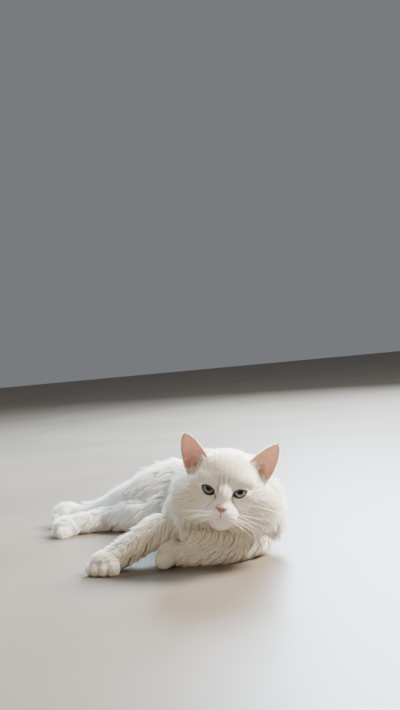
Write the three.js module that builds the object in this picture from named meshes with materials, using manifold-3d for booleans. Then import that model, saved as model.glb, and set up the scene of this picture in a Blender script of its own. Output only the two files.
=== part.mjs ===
// A white persian cat at life size, lying on its left side with its head up.
// Millimetres, +Z up. The cat faces -Y and its legs reach to its right, -X. The floor is Z = 0,
// and the origin is on the floor under the middle of the whole.

import * as THREE from "three";
import { mergeVertices } from "three/addons/utils/BufferGeometryUtils.js";
import Module from "manifold-3d";

const wasm = await Module();
wasm.setup();

// Driving dimensions
const GAP = 0.36; // clearance between pieces that meet
const CORE_SHARE = 0.5; // how much of the coat's depth the dense coat under the locks reaches
const SHORT_SHARE = 0.9; // the same for the feet, whose short coat has no locks
const LOCK_TIP = 0.7; // thickness of a lock at its tip
const LOCK_SUNK = 7; // how deep a lock's root goes into the dense coat
const LOCK_ROOT = 0.25; // the share of a lock's length that is sunk
const LOCK_RISE = 0.75; // below 1, a lock rises early out of the dense coat
const LOCK_POINT = 0.75; // below 1, a lock stays wide until near its tip
const LOCK_CHANCE = { place: 0.25, start: 0.2, reach: 0.2, width: 0.15, turn: 0.3 }; // how much locks vary
const EYE_RADIUS = 11.5;
const EYE_SPACING = 45; // between the centres of the two eyes
const EYE_HEIGHT = 4.5; // above the middle of the head
const LID = 1.4; // thickness of the lids over the eyeball
const NOSE_WIDTH = 16;
const NOSE_PLACE = [0, -58, -16.5];
const NOSTRIL = [1.7, 3, 1.3]; // half sizes
const MOUTH_WIDTH = 34;
const LIP = 1.8; // radius of the rolled lips
const EAR_HEIGHT = 47;
const EAR_WIDTH = 41;
const EAR_THICK = 2.6;
const EAR_SUNK = 14; // how deep the ear's root goes into the head
const EAR_ROOT = [44, -2, 31];
const EAR_CUP = 9; // depth of the cup at the root
const EAR_LEAN_BACK = -6; // degrees
const EAR_TURN_OUT = 12;
const EAR_TILT_OUT = 32;
const TOE_RADIUS = 7.5;
const TOE_COAT = 2;
const TOE_HEIGHT = 10; // of a toe's middle over the floor

// Where the head sits, and how it is turned: tipped down and leaning to the cat's left
const HEAD_CENTRE = new THREE.Vector3(50, -203, 117.5);
const HEAD_YAW = THREE.MathUtils.degToRad(-6.5);
const HEAD_PITCH = THREE.MathUtils.degToRad(5);
const HEAD_ROLL = THREE.MathUtils.degToRad(11.8);
const headMatrix = new THREE.Matrix4().makeRotationFromEuler(
  new THREE.Euler(HEAD_PITCH, HEAD_ROLL, HEAD_YAW, "ZXY"),
);
headMatrix.setPosition(HEAD_CENTRE);

// A closed geometry as a solid that can be joined and cut
function solidOf(geometry) {
  const bare = geometry.clone();
  bare.deleteAttribute("normal");
  bare.deleteAttribute("uv");
  const merged = mergeVertices(bare, 1e-4);
  const made = new wasm.Manifold(
    new wasm.Mesh({
      numProp: 3,
      vertProperties: merged.attributes.position.array,
      triVerts: new Uint32Array(merged.index.array),
    }),
  );
  return made;
}

// A geometry whose vertices are moved by a function of their first place
function shaped(geometry, place) {
  const position = geometry.attributes.position;
  const vertex = new THREE.Vector3();
  for (let i = 0; i < position.count; i++) {
    vertex.fromBufferAttribute(position, i);
    position.setXYZ(i, ...place(vertex).toArray());
  }
  return geometry;
}

// A generator of random numbers from 0 to 1, the same for the same seed
function seeded(seed) {
  let state = seed;
  return () => {
    state = (state * 1664525 + 1013904223) % 4294967296;
    return state / 4294967296;
  };
}

function join(solids) {
  return solids.reduce((sum, next) => sum.add(next));
}

// A flesh form: a sphere drawn out along a smooth line through its stations.
// Each station is [x, y, z, half width, half height, depth of coat].
class Form {
  constructor(stations, { sides = 16, rings = 12, blunt = 3 } = {}) {
    this.line = new THREE.CatmullRomCurve3(stations.map((s) => new THREE.Vector3(s[0], s[1], s[2])));
    this.size = new THREE.CatmullRomCurve3(stations.map((s) => new THREE.Vector3(s[3], s[4], s[5])));
    this.sides = sides;
    this.rings = rings;
    this.blunt = blunt;
  }

  // The point of the surface at share u of the line and at an angle round it,
  // with a share of the coat and extra growth
  point(u, angle, coatShare, grow) {
    const centre = this.line.getPoint(u);
    const along = this.line.getTangent(u);
    const side = new THREE.Vector3(0, 0, 1).cross(along).normalize();
    const up = along.clone().cross(side);
    const [wide, tall, coat] = this.size.getPoint(u).toArray();
    const end = Math.pow(Math.max(0, 1 - Math.pow(Math.abs(2 * u - 1), this.blunt)), 1 / this.blunt);
    const extra = coat * coatShare + grow;
    const reach = (u < 0.5 ? -1 : 1) * extra * (1 - end);
    return centre
      .addScaledVector(side, (wide + extra) * end * Math.cos(angle))
      .addScaledVector(up, (tall + extra) * end * Math.sin(angle))
      .addScaledVector(along, reach);
  }

  solid(coatShare = 1, grow = 0) {
    const ball = new THREE.SphereGeometry(1, this.sides, this.rings);
    const place = (v) => this.point((1 - v.y) / 2, Math.atan2(-v.x, v.z), coatShare, grow);
    return solidOf(shaped(ball, place));
  }
}

// An ellipsoid, turned about Z by heading
function lump(centre, radii, { heading = 0, sides = 12, rings = 8, grow = 0 } = {}) {
  const ball = new THREE.SphereGeometry(1, sides, rings);
  ball.scale(radii[0] + grow, radii[1] + grow, radii[2] + grow);
  ball.rotateZ(heading);
  ball.translate(...centre);
  return solidOf(ball);
}

// A lock of the coat: a flat tapered bar that leaves the dense coat of a surface and lies along it.
// The surface gives the point at (a, b) for a share of the coat and extra growth; the lock runs
// from one such place to another and rises from inside the dense coat to the tips of the coat.
const SIDES_OF_LOCK = 3; // a ridge outwards and a flat underside
const STEPS_OF_LOCK = 3;

function lock(surface, from, to, width, thick, grow) {
  const place = (t, extra) => {
    const a = THREE.MathUtils.lerp(from[0], to[0], t);
    const b = THREE.MathUtils.lerp(from[1], to[1], t);
    const share = THREE.MathUtils.lerp(CORE_SHARE, 1, Math.pow(t, LOCK_RISE));
    const sunk = LOCK_SUNK * Math.max(0, 1 - t / LOCK_ROOT) + thick * 0.2;
    return surface(a, b, share, extra - sunk);
  };
  const bar = new THREE.CylinderGeometry(1, 1, 1, SIDES_OF_LOCK, STEPS_OF_LOCK).rotateY(Math.PI);
  const drawn = shaped(bar, (v) => {
    const t = Math.pow(0.5 - v.y, 0.85);
    const centre = place(t, 0);
    const along = place(Math.min(1, t + 0.02), 0).sub(place(Math.max(0, t - 0.02), 0)).normalize();
    const out = place(t, 1).sub(centre).normalize();
    const across = along.clone().cross(out).normalize();
    const taper = Math.min(1, 0.6 + 1.4 * t) * Math.pow(1 - t, LOCK_POINT);
    const half = Math.max(LOCK_TIP, width * taper) / 2 + grow;
    const deep = Math.max(LOCK_TIP, thick * (0.35 + 0.65 * taper)) / 2 + grow;
    return centre
      .addScaledVector(across, v.x * half)
      .addScaledVector(along, t === 1 ? grow : 0)
      .addScaledVector(along.clone().cross(across), v.z * deep);
  });
  return solidOf(drawn);
}

// Rows of locks on a surface. Each row states where it lies (a), the span of b that it covers, how many
// locks it has, and how far and which way they reach (da, db); the locks vary a little by chance.
function rowsOfLocks(surface, rows, seed, grow) {
  const chance = seeded(seed);
  const vary = (size) => (chance() - 0.5) * 2 * size;
  const locks = [];
  for (const { a, span, count, da, db = 0, width, thick = 5.5 } of rows) {
    for (let i = 0; i < count; i++) {
      const step = (span[1] - span[0]) / count;
      const b = span[0] + step * (i + 0.5) + vary(step * LOCK_CHANCE.place);
      const start = a + vary(da * LOCK_CHANCE.start);
      const end = start + da * (1 + vary(LOCK_CHANCE.reach));
      const aside = b + db + vary(step * LOCK_CHANCE.turn);
      const wide = width * (1 + vary(LOCK_CHANCE.width));
      locks.push(lock(surface, [start, b], [end, aside], wide, thick, grow));
    }
  }
  return locks;
}

// The head's flesh, in its own frame: x to the cat's left, -y forwards, z up.
// Each lump is [x, y, z, half sizes along x, y and z], and those in pairs are mirrored.
const HEAD_LUMPS = [
  [0, 8, 9, 46, 46, 42], // braincase
  [0, -18, 20, 34, 25, 27], // forehead
  [0, -40, -1, 12, 18, 14], // bridge of the nose
  [0, -45, -20, 17, 17, 14], // snout
  [0, -42, -41, 14, 13, 10], // chin
  [0, -18, -32, 33, 32, 18], // jaw
];
const HEAD_PAIRS = [
  [21, -30, 18, 16, 11, 10], // brow
  [31, 10, 29, 20, 17, 20], // root of the ear
  [36, -6, -15, 24, 31, 27], // cheek
  [9.5, -50, -27, 13, 12.5, 11], // whisker pad
];
const lumps = [...HEAD_LUMPS, ...HEAD_PAIRS, ...HEAD_PAIRS.map(([x, ...rest]) => [-x, ...rest])];
const BLEND = 2.8; // how sharply the lumps run into one another
const MIDDLE = new THREE.Vector3(0, -16, -8); // the point from which the head's surface is measured

// The sum of the lumps' bell-shaped shares, which is one on the surface
function fleshShare(p) {
  let sum = 0;
  for (const [x, y, z, a, b, c] of lumps) {
    const q = ((p.x - x) / a) ** 2 + ((p.y - y) / b) ** 2 + ((p.z - z) / c) ** 2;
    sum += Math.exp(BLEND * (1 - q));
  }
  return sum;
}

// The point where a ray from the middle of the head leaves the flesh, moved out by extra
function fleshPoint(direction, extra = 0) {
  const p = new THREE.Vector3();
  const inside = (reach) => fleshShare(p.copy(MIDDLE).addScaledVector(direction, reach)) > 1;
  let far = 100;
  while (!inside(far)) far -= 2;
  let near = far;
  far += 2;
  for (let i = 0; i < 12; i++) {
    const half = (near + far) / 2;
    if (inside(half)) near = half;
    else far = half;
  }
  return p.copy(MIDDLE).addScaledVector(direction, near + extra).clone();
}

// The coat is short on the face and longest on the cheeks and under the jaw
const FACE_COAT = 1.8;
const CROWN_COAT = 7;
const CHEEK_COAT = 21;

function headCoat(direction, coatShare) {
  const face = THREE.MathUtils.smoothstep(-direction.y, 0.1, 0.7);
  const crown = THREE.MathUtils.smoothstep(direction.z, 0, 0.6);
  const behind = THREE.MathUtils.lerp(CHEEK_COAT * coatShare, CROWN_COAT, crown);
  return THREE.MathUtils.lerp(behind, FACE_COAT, face);
}

// The direction at an angle from the way the face looks, and at an angle round that line
function headDirection(polar, around) {
  const aside = Math.sin(polar);
  return new THREE.Vector3(aside * Math.cos(around), -Math.cos(polar), aside * Math.sin(around));
}

// The head's skin as a ball whose rings run round the muzzle and lie closest there
function headSkin(coatShare, grow) {
  return shaped(new THREE.SphereGeometry(1, 30, 21), (v) => {
    const share = Math.acos(THREE.MathUtils.clamp(v.y, -1, 1)) / Math.PI;
    const direction = headDirection(Math.PI * Math.pow(share, 1.25), Math.atan2(v.z, -v.x));
    return fleshPoint(direction, headCoat(direction, coatShare) + grow * 1.3);
  });
}

// The same surface for locks: a is the angle from the way the face looks and b the one round it, in degrees
function headSurface(a, b, coatShare, grow) {
  const direction = headDirection(...[a, b].map(THREE.MathUtils.degToRad));
  return fleshPoint(direction, headCoat(direction, coatShare) + grow).applyMatrix4(headMatrix);
}

// A round bar of a few sides through points
function bar(points, radius) {
  const section = new THREE.Shape();
  section.absarc(0, 0, radius, 0, 2 * Math.PI);
  return new THREE.ExtrudeGeometry(section, {
    steps: points.length - 1,
    curveSegments: 3,
    extrudePath: new THREE.CatmullRomCurve3(points),
    bevelEnabled: false,
  });
}

// The point of the face at [x, z] as seen from in front, moved out along the surface's normal
function onFace([x, z], out) {
  const p = new THREE.Vector3(x, -80, z);
  while (fleshShare(p) < 1 && p.y < 0) p.y += 0.2;
  const normal = new THREE.Vector3();
  for (const [cx, cy, cz, a, b, c] of lumps) {
    const q = ((p.x - cx) / a) ** 2 + ((p.y - cy) / b) ** 2 + ((p.z - cz) / c) ** 2;
    const slope = new THREE.Vector3((p.x - cx) / a ** 2, (p.y - cy) / b ** 2, (p.z - cz) / c ** 2);
    normal.addScaledVector(slope, Math.exp(-BLEND * q));
  }
  return p.addScaledVector(normal.normalize(), FACE_COAT + out);
}

// The mouth: a line that dips on either side of the philtrum and turns up at its corners
const MOUTH_TOP = -28.5;
const MOUTH_DIP = 4;
const mouthLine = [-1, -0.75, -0.5, -0.25, 0, 0.25, 0.5, 0.75, 1].map((share) => [
  (share * MOUTH_WIDTH) / 2,
  MOUTH_TOP - MOUTH_DIP * Math.sin(Math.PI * Math.min(1, Math.abs(share) * 1.15)),
]);
const philtrum = [NOSE_PLACE[2] - 4, NOSE_PLACE[2] - 8, MOUTH_TOP].map((z) => [0, z]);

const eyeCentre = (side) => new THREE.Vector3((side * EYE_SPACING) / 2, -32, EYE_HEIGHT);

const inHead = (geometry) => solidOf(geometry.applyMatrix4(headMatrix));

// What lies in front of the place y of the head's own frame
function frontOf(solid, y) {
  const forwards = new THREE.Vector3(0, -1, 0).transformDirection(headMatrix);
  const point = new THREE.Vector3(0, y, 0).applyMatrix4(headMatrix);
  return solid.trimByPlane(forwards.toArray(), forwards.dot(point));
}

// The front of an eyeball, cut flat where it goes deep into the head
function eyeBall(side, grow) {
  const ball = new THREE.SphereGeometry(EYE_RADIUS + grow, 14, 10).rotateX(Math.PI / 2);
  const centre = eyeCentre(side);
  return frontOf(inHead(ball.translate(...centre.toArray())), centre.y + 1 + grow);
}

// The almond between the lids, as a wedge that reaches forwards from the eyeball
function lidOpening(side) {
  const inner = [-10 * side, -3.5];
  const outer = [10 * side, 2.5];
  const almond = new THREE.Shape();
  almond.moveTo(...inner);
  almond.quadraticCurveTo(-2 * side, 12, ...outer);
  almond.quadraticCurveTo(3 * side, -12, ...inner);
  const wedge = new THREE.ExtrudeGeometry(almond, { depth: 30, bevelEnabled: false, curveSegments: 6 });
  const { x, y, z } = eyeCentre(side);
  return inHead(wedge.rotateX(Math.PI / 2).translate(x, y - 6, z));
}

function noseSolid(grow) {
  const ball = new THREE.SphereGeometry(1, 12, 8).rotateX(Math.PI / 2);
  const pad = shaped(ball, (v) => {
    const taper = 0.6 + 0.4 * THREE.MathUtils.smoothstep(v.z, -1, 0.6);
    const wide = (NOSE_WIDTH / 2) * taper + grow;
    return new THREE.Vector3(v.x * wide, v.y * (7 + grow), v.z * (6 + grow));
  });
  const solid = frontOf(inHead(pad.translate(...NOSE_PLACE)), NOSE_PLACE[1] + 2 + grow);
  if (grow > 0) return solid;
  const nostrils = [-1, 1].map((side) => {
    const hole = new THREE.SphereGeometry(1, 8, 6).scale(...NOSTRIL).rotateY(side * 0.5);
    return inHead(hole.translate(side * 4, -6.4, -0.6).translate(...NOSE_PLACE));
  });
  return nostrils.reduce((rest, hole) => rest.subtract(hole), solid);
}

function headSolid(coatShare, grow) {
  const skin = inHead(headSkin(coatShare, grow));
  if (grow > 0) return skin;
  const lids = [-1, 1].map((side) => eyeBall(side, LID));
  const barOn = (line, out, radius) => inHead(bar(line.map((place) => onFace(place, out)), radius));
  const lips = barOn(mouthLine, -0.5, LIP);
  const groove = barOn(mouthLine, 1.1, LIP / 2);
  const furrow = barOn(philtrum, 0.3, LIP / 2);
  const cuts = [groove, furrow, ...[-1, 1].map(lidOpening)];
  return cuts.reduce((rest, cut) => rest.subtract(cut), join([skin, ...lids, lips]));
}

// An ear: a crescent section that narrows to a rounded tip, its cup open to the front and outwards
function earSolid(side, grow) {
  const angles = [EAR_LEAN_BACK, side * EAR_TURN_OUT, side * EAR_TILT_OUT];
  const [back, turn, tilt] = angles.map(THREE.MathUtils.degToRad);
  const sheath = new THREE.CylinderGeometry(1, 1, 1, 16, 8);
  const drawn = shaped(sheath, (v) => {
    const rise = v.y + 0.5;
    const radius = Math.hypot(v.x, v.z);
    const across = radius > 0.5 ? v.x / radius : 0;
    const skin = radius > 0.5 ? -v.z / radius : 0;
    const narrowing = Math.pow(Math.max(0, 1 - Math.pow(rise, 2)), 0.6);
    const half = (EAR_WIDTH / 2) * narrowing + grow;
    const thick = (EAR_THICK / 2) * (0.4 + 0.6 * narrowing) + grow;
    const cup = EAR_CUP * Math.pow(1 - rise, 0.5) + 1.5;
    const height = rise * (EAR_HEIGHT + EAR_SUNK + grow) - EAR_SUNK;
    return new THREE.Vector3(half * across, cup * (0.4 - across * across) + thick * skin, height);
  });
  const [x, y, z] = EAR_ROOT;
  return inHead(drawn.rotateX(back).rotateZ(turn).rotateY(tilt).translate(side * x, y, z));
}

// Torso, neck and tail
const torso = new Form(
  [
    [50, -140, 64, 49, 46, 15],
    [52, -100, 63.5, 59, 58.5, 15],
    [48, -40, 65.5, 62, 60.5, 15],
    [37, 35, 64, 60, 59, 15],
    [23, 110, 59, 55, 54, 15],
    [9, 168, 53.5, 45, 45.5, 15],
    [2, 208, 47, 30, 29, 16],
  ],
  { sides: 18, rings: 14 },
);
const neck = new Form(
  [
    [53, -88, 77, 53, 47, 18],
    [54, -118, 84, 54, 46, 25],
    [55, -146, 89, 54, 44, 30],
    [54, -176, 95, 46, 38, 29],
  ],
  { sides: 18, rings: 9 },
);
// The fur of the chest, which hangs from the throat to the floor behind the folded foreleg
const chest = new Form(
  [
    [-20, -156, 42, 24, 38, 12],
    [40, -160, 47, 26, 41, 14],
    [88, -156, 48, 24, 36, 14],
  ],
  { sides: 12, rings: 7 },
);
const tail = new Form(
  [
    [2, 196, 44, 16, 16, 16],
    [6, 240, 31, 13, 13, 21],
    [16, 282, 25, 11, 11, 25],
    [32, 322, 22, 9, 9, 26],
    [54, 358, 19, 7, 7, 25],
    [84, 384, 15, 5, 5, 19],
  ],
  { sides: 12, rings: 15 },
);

// Part of a form: what lies between its shares from and to of the line, each end cut flat
function slice(form, coatShare, grow, from, to) {
  let solid = form.solid(coatShare, grow);
  for (const [u, way] of [[from, 1], [to, -1]]) {
    if (u <= 0 || u >= 1) continue;
    const normal = form.line.getTangent(u).multiplyScalar(way);
    solid = solid.trimByPlane(normal.toArray(), normal.dot(form.line.getPoint(u)) - grow);
  }
  return solid;
}

// Legs: an upper form down to the elbow or knee, and a lower one that runs on through the foot.
// The wrist or hock is the share of the lower line at which the foot is divided off, the heading
// is where the toes point, in degrees from +X, and lift is how much they are raised.
const LEGS = {
  foreleg_right: {
    upper: [
      [14, -104, 84, 34, 32, 10],
      [-10, -122, 73, 28, 27, 10],
      [-36, -136, 60, 21, 22, 9],
    ],
    lower: [
      [-30, -134, 61, 21, 22, 9],
      [-62, -146, 49, 17, 19, 9],
      [-94, -157, 36, 14, 15, 8],
      [-124, -167, 24, 15, 14, 6],
      [-150, -179, 15, 18, 12, 4],
    ],
    wrist: 0.62,
    heading: 210,
  },
  foreleg_left: {
    upper: [
      [88, -104, 76, 34, 34, 13],
      [102, -124, 52, 28, 28, 11],
      [106, -140, 30, 22, 22, 10],
    ],
    lower: [
      [107, -140, 24, 20, 21, 8],
      [62, -164, 23, 19, 20, 8],
      [22, -175, 20.5, 16, 17.5, 8],
      [-18, -172, 19, 15, 15, 7],
      [-50, -166, 15, 18, 12, 4],
    ],
    wrist: 0.66,
    heading: 166,
  },
  hindleg_right: {
    upper: [
      [8, 138, 64, 46, 42, 11],
      [-24, 142, 65, 43, 40, 12],
      [-58, 147, 62, 38, 35, 12],
      [-92, 153, 54, 31, 29, 11],
      [-114, 160, 47, 24, 24, 10],
    ],
    lower: [
      [-70, 149, 58, 32, 31, 11],
      [-100, 157, 52, 28, 28, 10],
      [-130, 170, 44, 21, 22, 9],
      [-176, 195, 29, 13, 14, 8],
      [-216, 210, 23, 12, 13, 8],
      [-257, 225, 18, 16, 15, 6],
    ],
    wrist: 0.6,
    heading: 160,
    lift: 6,
  },
  hindleg_left: {
    upper: [
      [4, 140, 43, 42, 39, 11],
      [-38, 112, 36, 36, 33, 12],
      [-78, 86, 31, 25, 26, 11],
    ],
    lower: [
      [-74, 88, 31, 24, 25, 11],
      [-120, 121, 25.5, 18, 20.5, 9],
      [-164, 150, 20.5, 12, 15.5, 9],
      [-206, 142, 21, 12, 13, 9],
      [-250, 130, 16, 16, 12, 6],
    ],
    wrist: 0.5,
    heading: 194,
  },
};

// Four toes spread ahead of the end of a leg, the middle two reaching furthest
function toes(stations, heading, lift, grow) {
  const [x, y] = stations[stations.length - 1];
  const turn = THREE.MathUtils.degToRad(heading);
  return [-1.5, -0.5, 0.5, 1.5].map((place) => {
    const tip = new THREE.Vector3(5.5 - 1.8 * Math.abs(place), place * TOE_RADIUS * 1.15, 0);
    tip.applyAxisAngle(new THREE.Vector3(0, 0, 1), turn).add(new THREE.Vector3(x, y, TOE_HEIGHT + lift));
    const radii = [TOE_RADIUS * 1.5, TOE_RADIUS, TOE_RADIUS * 1.15];
    const fan = turn - place * 0.12;
    return lump(tip.toArray(), radii, { heading: fan, sides: 8, rings: 4, grow: grow + TOE_COAT });
  });
}

const thighs = {};
const shins = {};
const legs = {};
const feet = {};
for (const [name, { upper, lower, wrist, heading, lift = 0 }] of Object.entries(LEGS)) {
  thighs[name] = new Form(upper, { sides: 12, rings: 8 });
  shins[name] = new Form(lower, { sides: 12, rings: 13 });
  feet[name.replace("leg", "paw")] = (share, grow) =>
    join([slice(shins[name], SHORT_SHARE, grow, wrist, 1), ...toes(lower, heading, lift, grow)]);
  legs[name + "_lower"] = (share, grow) => slice(shins[name], share, grow, 0, wrist);
  legs[name + "_upper"] = (share, grow) => thighs[name].solid(share, grow);
}

// Every piece as a function of the coat's share and of extra growth.
// A piece gives way to those before it in this list.
const PIECES = {
  eye_right: (share, grow) => eyeBall(-1, grow),
  eye_left: (share, grow) => eyeBall(1, grow),
  nose: (share, grow) => noseSolid(grow),
  neck: (share, grow) => neck.solid(share, grow),
  chest: (share, grow) => chest.solid(share, grow),
  head: headSolid,
  ear_right: (share, grow) => earSolid(-1, grow),
  ear_left: (share, grow) => earSolid(1, grow),
  torso: (share, grow) => torso.solid(share, grow),
  ...feet,
  ...legs,
  tail_base: (share, grow) => slice(tail, share, grow, 0, 0.34),
  tail_middle: (share, grow) => slice(tail, share, grow, 0.34, 0.66),
  tail_tip: (share, grow) => slice(tail, share, grow, 0.66, 1),
};

// The locks of each node. On a form a is the share of its line and b the angle round it in radians:
// 0 towards -X on the torso and tail and towards -Y on a leg, a quarter turn is up.
function on(form) {
  return (a, b, share, grow) => form.point(THREE.MathUtils.clamp(a, 0.004, 0.996), b, share, grow);
}
// Values spread evenly from first to last
function even(first, last, count) {
  return Array.from({ length: count }, (_, i) => THREE.MathUtils.lerp(first, last, i / (count - 1)));
}

// Rows one behind another along a form, each shifted round it by half a step
function rowsAlong(places, span, count, rest) {
  return places.map((a, i) => {
    const shift = (((i % 2) - 0.5) * (span[1] - span[0])) / count / 2;
    return { a, span: [span[0] + shift, span[1] + shift], count, ...rest };
  });
}

const THIGH_LOCK = { da: 0.4, width: 44, thick: 7 };
const TAIL_LOCK = { da: 0.2, width: 34, thick: 7 };
const FORM_ROWS = {
  torso: [torso, even(0.12, 0.82, 7), [-0.4, Math.PI + 0.4], 5, { da: 0.19, width: 48, thick: 7 }],
  neck: [neck, [0.68, 0.44], [-0.3, Math.PI + 0.3], 5, { da: -0.5, width: 48, thick: 8 }],
  chest: [chest, even(0.08, 0.9, 4), [-1.05, 0.95], 2, { da: 0.02, db: -0.75, width: 34 }],
  tail_base: [tail, [0.08, 0.2], [-0.6, 3.8], 4, TAIL_LOCK],
  tail_middle: [tail, [0.36, 0.48], [-0.6, 3.8], 4, TAIL_LOCK],
  tail_tip: [tail, [0.66, 0.78], [-0.6, 3.8], 3, { ...TAIL_LOCK, width: 42 }],
  hindleg_right_upper: [thighs.hindleg_right, [0.3, 0.58], [-0.2, 3.3], 4, THIGH_LOCK],
  hindleg_right_lower: [shins.hindleg_right, [0.2, 0.44], [0.3, 4.1], 3, { da: 0.19, width: 28 }],
  hindleg_left_upper: [thighs.hindleg_left, [0.4, 0.62], [-0.6, 1.4], 2, { da: 0.32, width: 30 }],
  hindleg_left_lower: [shins.hindleg_left, [0.16, 0.34], [-0.6, 3.4], 3, { da: 0.2, width: 28 }],
  foreleg_right_upper: [thighs.foreleg_right, [0.4, 0.62], [-0.2, 3.3], 3, { da: 0.34, width: 34 }],
  foreleg_right_lower: [shins.foreleg_right, [0.2, 0.4], [0.3, 4.3], 3, { da: 0.22, width: 26 }],
  foreleg_left_upper: [thighs.foreleg_left, [0.4, 0.66], [1.2, 4.2], 3, { da: 0.32, width: 30 }],
  foreleg_left_lower: [shins.foreleg_left, [0.14, 0.36], [-0.5, 1.7], 3, { da: 0.22, width: 23 }],
};
const HEAD_ROWS = [
  { a: 64, span: [-170, -10], count: 7, da: 44, width: 33 },
  { a: 88, span: [-195, 15], count: 8, da: 38, width: 37, thick: 7 },
];
const LOCKS = { head: (grow) => rowsOfLocks(headSurface, HEAD_ROWS, 37, grow) };
Object.entries(FORM_ROWS).forEach(([name, [form, ...rows]], i) => {
  LOCKS[name] = (grow) => rowsOfLocks(on(form), rowsAlong(...rows), 53 + 6 * i, grow);
});

const floor = solidOf(new THREE.BoxGeometry(2000, 2000, 200).translate(0, 0, -100));

function largest(solid) {
  return solid.decompose().reduce((best, next) => (next.volume() > best.volume() ? next : best));
}

// Looks
const FUR = { color: 0xece8dc, roughness: 0.95, metalness: 0 };
const SKIN = { color: 0xd9968a, roughness: 0.6, metalness: 0 };
const EYE = { color: 0x8794a6, roughness: 0.1, metalness: 0 };
const BARE = ["nose", "ear_right", "ear_left"];
const lookOf = (name) => (name.startsWith("eye") ? EYE : BARE.includes(name) ? SKIN : FUR);

function meshOf(name, solid) {
  const made = solid.getMesh();
  const geometry = new THREE.BufferGeometry();
  const position = new Float32Array(made.numVert * 3);
  for (let i = 0; i < made.numVert; i++) {
    position.set(made.vertProperties.subarray(i * made.numProp, i * made.numProp + 3), i * 3);
  }
  geometry.setAttribute("position", new THREE.BufferAttribute(position, 3));
  geometry.setIndex(new THREE.BufferAttribute(made.triVerts, 1));
  const mesh = new THREE.Mesh(geometry, new THREE.MeshStandardMaterial(lookOf(name)));
  mesh.name = name;
  return mesh;
}

// A node is its dense coat, less the ones before it, joined with its locks,
// which are cut clear of every other node's dense coat and of the locks before them
const names = Object.keys(PIECES);
const grownCores = names.map((name) => PIECES[name](CORE_SHARE, GAP));
const cat = new THREE.Group();
const locksBefore = [];
names.forEach((name, i) => {
  let solid = PIECES[name](CORE_SHARE, 0);
  for (const other of grownCores.slice(0, i)) solid = solid.subtract(other);
  if (LOCKS[name]) {
    let locks = join(LOCKS[name](0));
    for (const other of grownCores.filter((_, k) => k !== i)) locks = locks.subtract(other);
    for (const other of locksBefore) locks = locks.subtract(other);
    solid = solid.add(locks);
    locksBefore.push(join(LOCKS[name](GAP)));
  }
  cat.add(meshOf(name, largest(solid.subtract(floor))));
});

// The whole is set with the middle of its outline over the origin
const middle = new THREE.Box3().setFromObject(cat).getCenter(new THREE.Vector3());
for (const mesh of cat.children) mesh.position.set(-middle.x, -middle.y, 0);

export default cat;
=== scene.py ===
# %% [markdown]
# # A white persian cat, lying on its side
#
# The solids of the cat are loaded first, as a frame that fixes every size. Then the cat is dressed:
# one skin goes over all its flesh, more than ninety thousand small tufts of fur grow out of the skin,
# and the eyes, ears, nose, mouth and whiskers are made one by one. Shapes are worked out with numpy
# in the millimetres of the solids, and are turned into metres only when a mesh is made.

# %% Load the solids and keep their box
import math

import bpy
import numpy as np
from mathutils import Matrix, Vector
from mathutils.bvhtree import BVHTree


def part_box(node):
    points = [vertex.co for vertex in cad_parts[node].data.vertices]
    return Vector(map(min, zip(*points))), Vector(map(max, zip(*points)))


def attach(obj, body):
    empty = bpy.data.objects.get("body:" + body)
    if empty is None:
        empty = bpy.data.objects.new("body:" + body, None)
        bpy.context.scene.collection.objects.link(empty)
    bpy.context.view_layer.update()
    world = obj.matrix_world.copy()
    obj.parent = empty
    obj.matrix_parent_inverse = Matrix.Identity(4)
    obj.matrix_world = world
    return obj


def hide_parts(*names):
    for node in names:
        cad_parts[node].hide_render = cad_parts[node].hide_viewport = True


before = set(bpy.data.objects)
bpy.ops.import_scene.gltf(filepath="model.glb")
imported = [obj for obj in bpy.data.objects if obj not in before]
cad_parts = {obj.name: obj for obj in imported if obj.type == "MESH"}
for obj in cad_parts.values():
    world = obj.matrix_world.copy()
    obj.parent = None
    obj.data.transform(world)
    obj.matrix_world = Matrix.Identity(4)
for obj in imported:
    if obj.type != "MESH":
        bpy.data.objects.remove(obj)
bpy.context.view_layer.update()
scene = bpy.context.scene
chance = np.random.default_rng(20)

# %% [markdown]
# ## Where the head is
#
# The head is drawn upright and looking along -Y, and is then turned: a little to its right, down, and
# leaning to one side. The same three angles turned the solid head, so the two lie over one another.
# The solids were moved at the end, to set the middle of the whole over the origin. That move is read
# off an eye, whose place in the drawing is known.

# %% The head's own frame, and the move from the drawing to the scene
MM = 0.001
SIDES = {"right": -1, "left": 1}
HEAD_CENTRE = np.array([50, -203, 117.5])
yaw, pitch, roll = (Matrix.Rotation(math.radians(angle), 3, axis)
                    for angle, axis in ((-6.5, "Z"), (5, "X"), (11.8, "Y")))
HEAD_TURN = np.array(yaw @ pitch @ roll)
EYE_RADIUS = 11.5
EYE_CENTRE = np.array([22.5, -32, 4.5])


def unit(vectors):
    """The vectors at length one."""
    return vectors / np.maximum(np.linalg.norm(vectors, axis=-1, keepdims=True), 1e-6)


def without(vectors, ways):
    """The vectors less their share along the ways: v - (v . w) w."""
    return vectors - (vectors * ways).sum(1, keepdims=True) * ways


def circle(count):
    """So many angles, evenly round a circle."""
    return np.linspace(0, 2 * math.pi, count, endpoint=False)


def stacked(*parts):
    """Arrays or single numbers, such as x, y and z, as one array of points."""
    return np.stack(np.broadcast_arrays(*parts), -1)


def from_head(points):
    """Points of the head's own frame, turned and moved to the drawing."""
    return np.asarray(points, float) @ HEAD_TURN.T + HEAD_CENTRE


def to_head(points):
    """Points of the drawing, seen in the head's own frame."""
    return (np.asarray(points, float) - HEAD_CENTRE) @ HEAD_TURN


def mirrored(place, side):
    """A place of the head's left half, or its mirror image where the side is -1."""
    return place * [side, 1, 1]


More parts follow.
